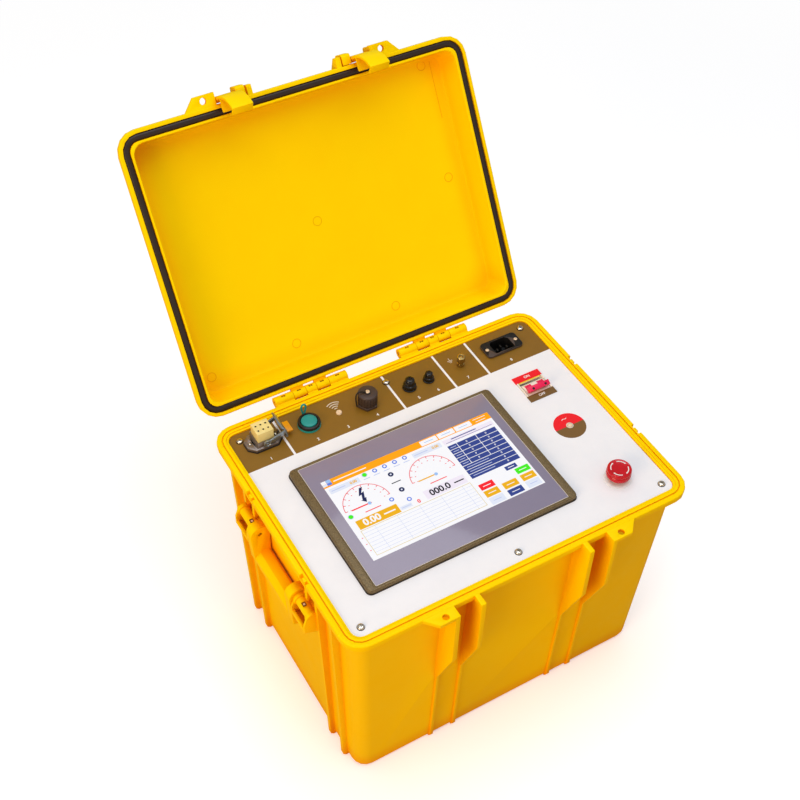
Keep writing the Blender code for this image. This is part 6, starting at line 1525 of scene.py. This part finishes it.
@dataclass
class DataPorts:
    """The capped data ports and the antenna's port with its printed arcs."""

    sides: int = 64
    usb: tuple = (-0.113, 0.130)
    usb_ring: float = 0.0140
    usb_collar: float = 0.0136
    usb_inner: float = 0.0103
    usb_cap: float = 0.0098
    usb_loop: tuple = ((-0.1136, 0.1437, 0.3069), (-0.1142, 0.1438, 0.3120), (-0.1162, 0.1439, 0.3190),
                       (-0.1158, 0.1439, 0.3240), (-0.1130, 0.1439, 0.3262), (-0.1102, 0.1439, 0.3240),
                       (-0.1098, 0.1439, 0.3190), (-0.1118, 0.1438, 0.3120), (-0.1124, 0.1437, 0.3069))
    usb_cord: float = 0.0012
    lan_lobes: int = 20
    lan_lobe: float = 0.0012
    lan_loop: tuple = ((-0.0368, 0.1255, 0.3255), (-0.0410, 0.1262, 0.3262), (-0.0452, 0.1272, 0.3290),
                       (-0.0500, 0.1276, 0.3284), (-0.0522, 0.1274, 0.3230), (-0.0518, 0.1268, 0.3140),
                       (-0.0508, 0.1262, 0.3062))
    lan_cord: float = 0.0009
    lan_screw: tuple = (0.0026, 0.0014, 0.0030, 0.0007)     # head radius and height, cross length and width
    eyelet: tuple = (0.0036, 0.0006)    # radius and rise
    arcs: tuple = (0.0030, 0.0064, 0.0098, 0.0132)
    arc_width: float = 0.0012
    arc_start: float = math.radians(52.0)
    arc_end: float = math.radians(128.0)
    arc_centre: tuple = (-0.0736, 0.1345)

    def build(self) -> None:
        """Make the ports."""
        self.make_usb()
        self.make_lan()
        self.make_antenna()

    def make_usb(self) -> None:
        """A teal ring, a black collar, a domed teal cap and its looped strap."""
        top = level_of("usb_socket")[1]
        ring = moulding("usb_socket", "data_port_body", 0.0003)
        dress(ring, TEAL, Body.CASE, replaces=("usb_socket",))
        rim = turning("data_port_ring", self.usb, [
            (self.usb_ring, film_level("front_panel")), (self.usb_ring, top - 0.0006),
            (self.usb_ring - 0.0006, top - LEVEL), (self.usb_collar - 0.001, top - LEVEL)], self.sides)
        dress(rim, TEAL, Body.CASE)
        low, high = level_of("usb_collar")
        collar = turning("data_port_collar", self.usb, [
            (self.usb_collar - 0.0004, low), (self.usb_collar, low + 0.0006), (self.usb_collar, high - 0.0014),
            (self.usb_collar - 0.0005, high - 0.0004), (self.usb_collar - 0.0013, high),
            (self.usb_inner + 0.0008, high), (self.usb_inner + 0.0001, high - 0.0007),
            (self.usb_inner, low)], self.sides)
        dress(collar, BLACK, Body.CASE, replaces=("usb_collar",))
        low, high = level_of("usb_cap")
        r = self.usb_cap
        cap = turning("data_port_cap", self.usb, [
            (0.0050, low), (0.0054, low + 0.0005), (0.0054, low + 0.0050), (r - 0.0004, low + 0.0054),
            (r, low + 0.0060), (r, high - 0.0018), (r - 0.0004, high - 0.0008), (r - 0.0012, high - 0.0003),
            (r * 0.55, high - 0.0001), (r * 0.2, high)], self.sides)
        dress(cap, TEAL, Body.USB_CAP, replaces=("usb_cap",))
        loop = cord("data_port_strap", list(self.usb_loop), self.usb_cord)
        dress(loop, TEAL, Body.CASE, replaces=("usb_strap",))

    def make_lan(self) -> None:
        """A hexagonal base, a ribbed cap with a screw, and a looped strap."""
        base = moulding("lan_socket", "network_port_base", 0.0007, 3)
        dress(base, BROWN_CAP, Body.CASE, replaces=("lan_socket",))
        place, r = middle_of("lan_cap"), radius_of("lan_cap")
        foot, top = level_of("lan_cap")
        reach = r - self.lan_lobe
        cap = turning("network_port_cap", place, [
            (reach - 0.0002, foot), (reach + 0.0003, foot + 0.0006), (reach + 0.0003, top - 0.0032),
            (r, top - 0.0028), (r, top - 0.0010), (r - 0.0005, top - 0.0003), (r - 0.0013, top),
            (r * 0.45, top), (r * 0.42, top - 0.0003), (r * 0.1, top - 0.0003)], self.sides)
        lobe = [(self.lan_lobe * 0.8, foot + 0.0004), (self.lan_lobe, foot + 0.0010),
                (self.lan_lobe, top - 0.0034), (self.lan_lobe * 0.5, top - 0.0026)]
        lobes = [cap] + [turning("lobe", spot, lobe, 12) for spot in spread_round(place, reach, self.lan_lobes)]
        dress(unite(lobes, "network_port_cap"), BROWN_CAP, Body.LAN_CAP, replaces=("lan_cap",))
        loop = cord("network_port_strap", list(self.lan_loop), self.lan_cord)
        dress(loop, BLACK, Body.CASE, replaces=("lan_strap",))
        radius, rise = self.eyelet
        eyelet = turning("network_port_eyelet", place, [
            (radius, top + SETTLE), (radius, top + rise), (radius * 0.85, top + rise * 1.2),
            (radius * 0.3, top + rise * 1.2)], 32)
        dress(eyelet, BLACK, Body.CASE)
        screw = Screw(*self.lan_screw).model("network_port_screw", place, top + rise * 1.2)
        dress(screw, LAMP, Body.CASE)

    def make_antenna(self) -> None:
        """A small cream port in front of four printed arcs."""
        low, high = level_of("antenna_port")
        r = radius_of("antenna_port")
        seat = film_level("front_panel")
        body = turning("antenna_port_body", middle_of("antenna_port"), [
            (r * 0.7, low), (r * 0.76, low + 0.0005), (r * 0.76, seat), (r, seat), (r, high - 0.0008),
            (r * 0.86, high), (r * 0.5, high), (r * 0.45, high - 0.0006), (r * 0.2, high - 0.0006)], 40)
        dress(body, LAMP, Body.CASE, replaces=("antenna_port",))
        arcs = [sweep("arc", self.arc_centre, radius, self.arc_width, self.arc_start, self.arc_end, seat,
                      FILM, 16) for radius in self.arcs]
        dress(unite(arcs, "antenna_arcs"), INK_SILVER, Body.CASE, smooth=False)


@dataclass
class Terminals:
    """Two black binding posts and the brass ground post."""

    sides: int = 54
    knob: tuple = ((0.90, 0.0), (0.97, 0.04), (0.97, 0.33), (0.88, 0.37), (0.80, 0.40), (0.79, 0.46),
                   (0.74, 0.80), (0.70, 0.90), (0.60, 0.97), (0.48, 1.0), (0.30, 1.0), (0.27, 0.94),
                   (0.12, 0.94))        # shares of radius and height
    rib: tuple = ((0.028, 0.03), (0.034, 0.06), (0.034, 0.30), (0.02, 0.335))   # shares, as the knob's
    ribs: int = 18
    rib_reach: float = 0.965    # share of the knob's radius
    post_edge: float = 0.0003
    nut_edge: float = 0.0004
    earth: tuple = (0.0875, 0.1395)
    earth_bars: tuple = (0.0070, 0.0046, 0.0022)
    earth_pitch: float = 0.0017
    earth_stem: float = 0.0044
    earth_line: float = 0.0007

    def build(self) -> None:
        """Make the three terminals."""
        for letter, body in (("h", Body.KNOB_H), ("l", Body.KNOB_L)):
            self.make_binding(letter, body)
        self.make_ground()

    def make_binding(self, letter: str, body: Body) -> None:
        """One post with its washer, and the knob that screws down on it.

        Args:
            letter: the terminal's letter in the names.
            body: the body that its knob rides on.
        """
        post = moulding(f"terminal_{letter}_post", f"binding_post_{letter}", self.post_edge)
        dress(post, KNOB, Body.CASE, replaces=(f"terminal_{letter}_post",))
        node = f"terminal_{letter}_knob"
        low, high = level_of(node)
        place, r = middle_of(node), radius_of(node)
        knob = turning(f"binding_knob_{letter}", place, shaped(self.knob, low, r, high - low), self.sides)
        rib = shaped(self.rib, low, r, high - low)
        ribs = [turning("rib", spot, rib, 8) for spot in spread_round(place, r * self.rib_reach, self.ribs)]
        dress(unite([knob] + ribs, f"binding_knob_{letter}"), KNOB, body,
              replaces=(node,))

    def make_ground(self) -> None:
        """A brass post, its nut and the printed earth sign."""
        post = moulding("ground_post", "earth_post", self.post_edge)
        dress(post, BRASS, Body.CASE, replaces=("ground_post",))
        nut = moulding("ground_nut", "earth_nut", self.nut_edge, 3)
        dress(nut, BRASS, Body.NUT, replaces=("ground_nut",))
        seat = film_level("front_panel")
        x, y = self.earth
        stem = self.earth_stem
        pieces = [slab("stem", (x, y + stem / 2), (self.earth_line, stem), seat, seat + FILM)]
        for number, width in enumerate(self.earth_bars):
            pieces.append(slab("bar", (x, y - number * self.earth_pitch), (width, self.earth_line), seat,
                               seat + FILM))
        dress(unite(pieces, "earth_sign"), INK_SILVER, Body.CASE, smooth=False)


@dataclass
class PowerSide:
    """Power inlet, circuit breaker, lamp disc and emergency stop."""

    edge: float = 0.0005
    inlet_screw: float = 0.042      # distance between its screws
    inlet_rise: float = 0.0030
    inlet_opening: tuple = (0.0276, 0.0205)
    inlet_screws: tuple = (0.0023, 0.0012, 0.0028, 0.0006)  # head radius and height, cross length and width
    toggle_axis: tuple = (0.0534, 0.2963)   # place back and level of the toggle's axis
    toggle_tilt: float = math.radians(28.0)
    drum: float = 0.0102
    drum_round: float = 0.0003
    deck: tuple = (0.3036, 0.3050)      # levels of the deck plates
    deck_gap: tuple = (0.0080, 0.0101)  # from the axis to the front plate and to the back plate
    window: tuple = (0.0306, 0.0240)
    stalks: tuple = (0.1470, 0.1645)
    stalk: float = 0.0085
    stalk_side: tuple = ((-0.0045, 0.0092), (-0.0005, 0.0092), (-0.0005, 0.0110), (-0.0042, 0.0158),
                         (-0.0062, 0.0158))     # corners of a stalk's side, back from the axis and above it
    hole: float = 0.0016
    bar_reach: float = 0.0195   # outer face of the tie bar above the axis
    bar_shift: float = 0.0008
    pad: tuple = (0.0105, 0.0008, math.radians(18.0), math.radians(16.0))   # radius, thickness, ends
    label: tuple = (0.1366, 0.1743, 0.0315, 0.0750)
    red_from: float = 0.0650
    strip_from: float = 0.0631
    strip_inset: float = 0.0035
    word: float = 0.0052        # height of ON and OFF
    brown_to: float = 0.0412
    disc_radius: float = 0.0197
    lamp_ring: tuple = (0.0038, 0.0012, 0.0004)
    wave_rise: float = 11.6     # sign's place behind the lamp, in mm
    wave: tuple = ((-4.2, -0.5), (-3.0, 0.75), (-1.6, 0.95), (0.0, 0.35), (1.4, 0.15), (2.9, 0.95), (3.4, 0.45),
                   (1.7, -0.65), (0.2, -0.45), (-1.5, 0.15), (-2.8, -0.15), (-3.7, -1.15))      # in mm
    stop_edge: float = 0.0002
    stop_profile: tuple = (
        (0.90, 0.0), (0.97, 0.02), (1.0, 0.08), (1.0, 0.40), (0.985, 0.47), (0.95, 0.52), (0.935, 0.57),
        (0.95, 0.62), (0.975, 0.68), (0.98, 0.80), (0.965, 0.90), (0.93, 0.97), (0.88, 1.0), (0.82, 0.98),
        (0.55, 0.93), (0.25, 0.90), (0.05, 0.89))
    stop_arcs: int = 4
    arc_reach: float = 0.70     # share of the head's radius
    arc_drop: float = 0.035     # share of its height
    arc_width: float = 0.0011
    arc_from: float = 0.35      # first angle of the first arc
    arc_turn: float = 0.95
    tip_turn: float = 0.16
    tip_half: float = 0.0013

    def build(self) -> None:
        """Make the right-hand column."""
        self.make_inlet()
        self.make_breaker()
        self.make_lamp()
        self.make_stop()

    def make_inlet(self) -> None:
        """The inlet's flange, its socket painted dark as shade, and its screws."""
        body = moulding("inlet_body", "power_inlet_flange", self.edge, 3)
        dress(body, INLET, Body.CASE, replaces=("inlet_body",))
        # Painted shade: the faces inside the socket's opening get the near-black hole colour.
        body.data.materials.append(PAINTED_HOLE_SHADE.make())
        x, y = middle_of("inlet_body")
        wide, deep = self.inlet_opening
        for face in body.data.polygons:
            if abs(face.center.x - x) < wide / 2 + WELD and abs(face.center.y - y) < deep / 2 + WELD:
                face.material_index = 1
        top = panel_top() + self.inlet_rise + SETTLE
        Screw(*self.inlet_screws).pair("inlet", (x, y), self.inlet_screw, top, LAMP)

    def make_breaker(self) -> None:
        """The breaker, its tied toggles and the printed plate round it."""
        dress(moulding("breaker_body", "breaker_case", self.edge), WHITE, Body.CASE,
              replaces=("breaker_body",))
        dress(moulding("breaker_toggle", "breaker_handle", self.edge, 3), PINK, Body.TOGGLE,
              replaces=("breaker_toggle",))
        self.make_drum()
        left, right, front, back = self.label
        seat = film_level("front_panel")
        top = level_of("breaker_body")[1] + FILM
        strip = self.deck[1] + SETTLE
        rows = (
            ("breaker_label_red", INK_RED, (left, right, self.red_from, back), seat, top),
            ("breaker_label_yellow", INK_YELLOW, (left + self.strip_inset, right - self.strip_inset,
                                                  self.strip_from, self.red_from), strip, strip + FILM),
            ("breaker_label_brown", INK_BROWN, (left, right, front, self.brown_to), seat, top),
        )
        for name, finish, (x0, x1, y0, y1), low, high in rows:
            piece = slab(name, ((x0 + x1) / 2, (y0 + y1) / 2), (x1 - x0, y1 - y0), low, high)
            dress(piece, finish, Body.CASE, smooth=False)
        middle = (left + right) / 2
        words = [lettering("word", word, (middle, spot), self.word, top + SETTLE)
                 for word, spot in (("ON", (self.red_from + back) / 2), ("OFF", (front + self.brown_to) / 2))]
        dress(unite(words, "breaker_words"), INK_WHITE, Body.CASE, smooth=False)

    def make_drum(self) -> None:
        """White deck plates, the white drum between them, the red stalks on it, and near-black discs painted as
        shade in the tie bar's holes.
        """
        x = middle_of("breaker_toggle")[0]
        y, z = self.toggle_axis
        wide, deep = self.window
        rows = ((y - deep / 2, y - self.deck_gap[0]), (y + self.deck_gap[1], y + deep / 2))
        decks = [slab("deck", (x, (y0 + y1) / 2), (wide, y1 - y0), *self.deck, edge=self.drum_round)
                 for y0, y1 in rows]
        dress(unite(decks, "breaker_deck"), WHITE, Body.CASE)
        low, high, small = z - wide / 2, z + wide / 2, self.drum - self.drum_round
        drum = turning("breaker_drum", (x, y), [
            (small, low), (self.drum, low + self.drum_round), (self.drum, high - self.drum_round),
            (small, high)], 48)
        turn(drum, math.pi / 2, "Y", (x, y, z))
        dress(drum, WHITE, Body.TOGGLE)
        half = self.stalk / 2
        side = [(-rise, back) for back, rise in self.stalk_side]
        stalks = [self.hang(plate("stalk", side, -half, half), spot) for spot in self.stalks]
        dress(unite(stalks, "breaker_stalks"), PINK, Body.TOGGLE)
        radius, thick, behind, before = self.pad
        pads = [self.hang(sweep("pad", (0.0, 0.0), radius, thick, math.pi - behind, math.pi + before, -half,
                                self.stalk, 12), spot) for spot in self.stalks]
        dress(unite(pads, "breaker_pads"), PINK, Body.TOGGLE)
        level = z + self.bar_reach + SETTLE
        mouth = [(self.hole, level), (self.hole, level + FILM)]
        # Painted shade: a near-black disc in the mouth of each tie-bar hole.
        bar_hole_shades = [turn(turning("hole", (spot, y - self.bar_shift), mouth, 24), self.toggle_tilt, "X", (x, y, z))
                 for spot in self.stalks]
        dress(unite(bar_hole_shades, "breaker_bar_hole_shade"), PAINTED_HOLE_SHADE, Body.TOGGLE, smooth=False)

    def hang(self, piece: bpy.types.Object, spot: float) -> bpy.types.Object:
        """Stand a piece that was drawn flat on edge, on the toggle's axis.

        Args:
            piece: the object, drawn with the axis upright through the origin.
            spot: its place across.

        Returns:
            The piece.
        """
        turn(piece, math.pi / 2, "Y", (0.0, 0.0, 0.0))
        piece.matrix_world = Matrix.Translation((spot, *self.toggle_axis)) @ piece.matrix_world
        return settle(piece, piece.name)

    def make_lamp(self) -> None:
        """The two-colour disc with a small lamp in its middle."""
        low, top = level_of("indicator_lamp")
        place, r = middle_of("indicator_lamp"), radius_of("indicator_lamp")
        seat = film_level("front_panel")
        disc = turning("lamp_disc", place, [(self.disc_radius, seat), (self.disc_radius, seat + FILM)], 64)
        dress(disc, DISC, Body.CASE, smooth=False)
        panel = panel_top() + 2 * FILM
        lens = turning("indicator_lens", place, [
            (r * 0.80, low), (r * 0.85, low + 0.0005), (r * 0.85, panel), (r, panel), (r, top - 0.0006),
            (r * 0.94, top - 0.0003), (r * 0.80, top), (r * 0.72, top - 0.0002), (r * 0.66, top - 0.0001),
            (r * 0.30, top)], 48)
        dress(lens, LAMP, Body.CASE, replaces=("indicator_lamp",))
        ring = sweep("indicator_ring", place, self.lamp_ring[0], self.lamp_ring[1], 0.0, math.tau,
                     seat + FILM + SETTLE, self.lamp_ring[2], 48)
        dress(ring, INK_SILVER, Body.CASE)
        outline = [(place[0] + x * MM, place[1] + (self.wave_rise + y) * MM) for x, y in self.wave]
        sign = plate("lamp_sign", outline, seat + FILM, seat + 2 * FILM)
        dress(sign, INK_WHITE, Body.CASE, smooth=False)

    def make_stop(self) -> None:
        """The emergency stop: white ring, neck and a dished red head with turning arrows."""
        for node, name, finish, body, slot in (
                ("stop_collar", "stop_ring", COLLAR, Body.CASE, "collar_white"),
                ("stop_stem", "stop_neck", STOP, Body.STEM, "stop_red")):
            dress(moulding(node, name, self.stop_edge), finish, body, replaces=(node,))
        place, r = middle_of("stop_collar"), radius_of("stop_head")
        foot, top = level_of("stop_head")
        head = turning("stop_button", place, shaped(self.stop_profile, foot, r, top - foot), 72)
        dress(head, STOP, Body.HEAD, replaces=("stop_head",))
        arrows = []
        level = top - (top - foot) * self.arc_drop
        reach = r * self.arc_reach
        for number in range(self.stop_arcs):
            start = math.tau * number / self.stop_arcs + self.arc_from
            arrows.append(sweep("arc", place, reach, self.arc_width, start, start + self.arc_turn, level,
                                FILM, 12))
            corners = ((reach + self.tip_half, start), (reach, start - self.tip_turn),
                       (reach - self.tip_half, start))
            outline = [(place[0] + out * math.cos(angle), place[1] + out * math.sin(angle))
                       for out, angle in corners]
            arrows.append(plate("tip", outline, level, level + FILM))
        dress(unite(arrows, "stop_arrows"), INK_WHITE, Body.HEAD, smooth=False)


@dataclass
class Interior:
    """Materials of the pieces that keep their CAD shape: pins, chassis, transformer and boards."""

    def build(self) -> None:
        """Give each remaining node its material."""
        finishes = {
            "steel": STEEL, "zinc": ZINC, "sheet_steel": SHEET, "lamination": CORE, "copper": COPPER,
            "epoxy": EPOXY, "board_green": BOARD, "resistor_blue": RESISTOR, "black_plastic": BLACK,
            "brass": BRASS, "yellow_plastic": YELLOW, "cream_plastic": CREAM, "amber_plastic": AMBER,
        }
        for name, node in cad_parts.items():
            if node.hide_render:
                continue
            slots = [slot.material for slot in node.material_slots if slot.material]
            if not slots:
                continue
            key = slots[0].name.split(".")[0]
            if key in finishes:
                node.data.materials.clear()
                node.data.materials.append(finishes[key].make())
                LOG.info("%s: %s, keeps its shape", name, finishes[key].name)


def main() -> None:
    """Build the studio and the tester, assembly by assembly."""
    logging.basicConfig(level=logging.INFO, format="%(message)s")
    bpy.context.scene.view_settings.view_transform = "Standard"
    bpy.ops.object.select_all(action="DESELECT")
    makers = (Studio, MouldedCase, FrontPanel, TouchPanel, Display, OutputConnector, DataPorts, Terminals,
              PowerSide, Interior)
    for kind in makers:
        maker = kind()
        maker.build()
        LOG.info("built %s", type(maker).__name__)


if __name__ == "__main__":
    main()
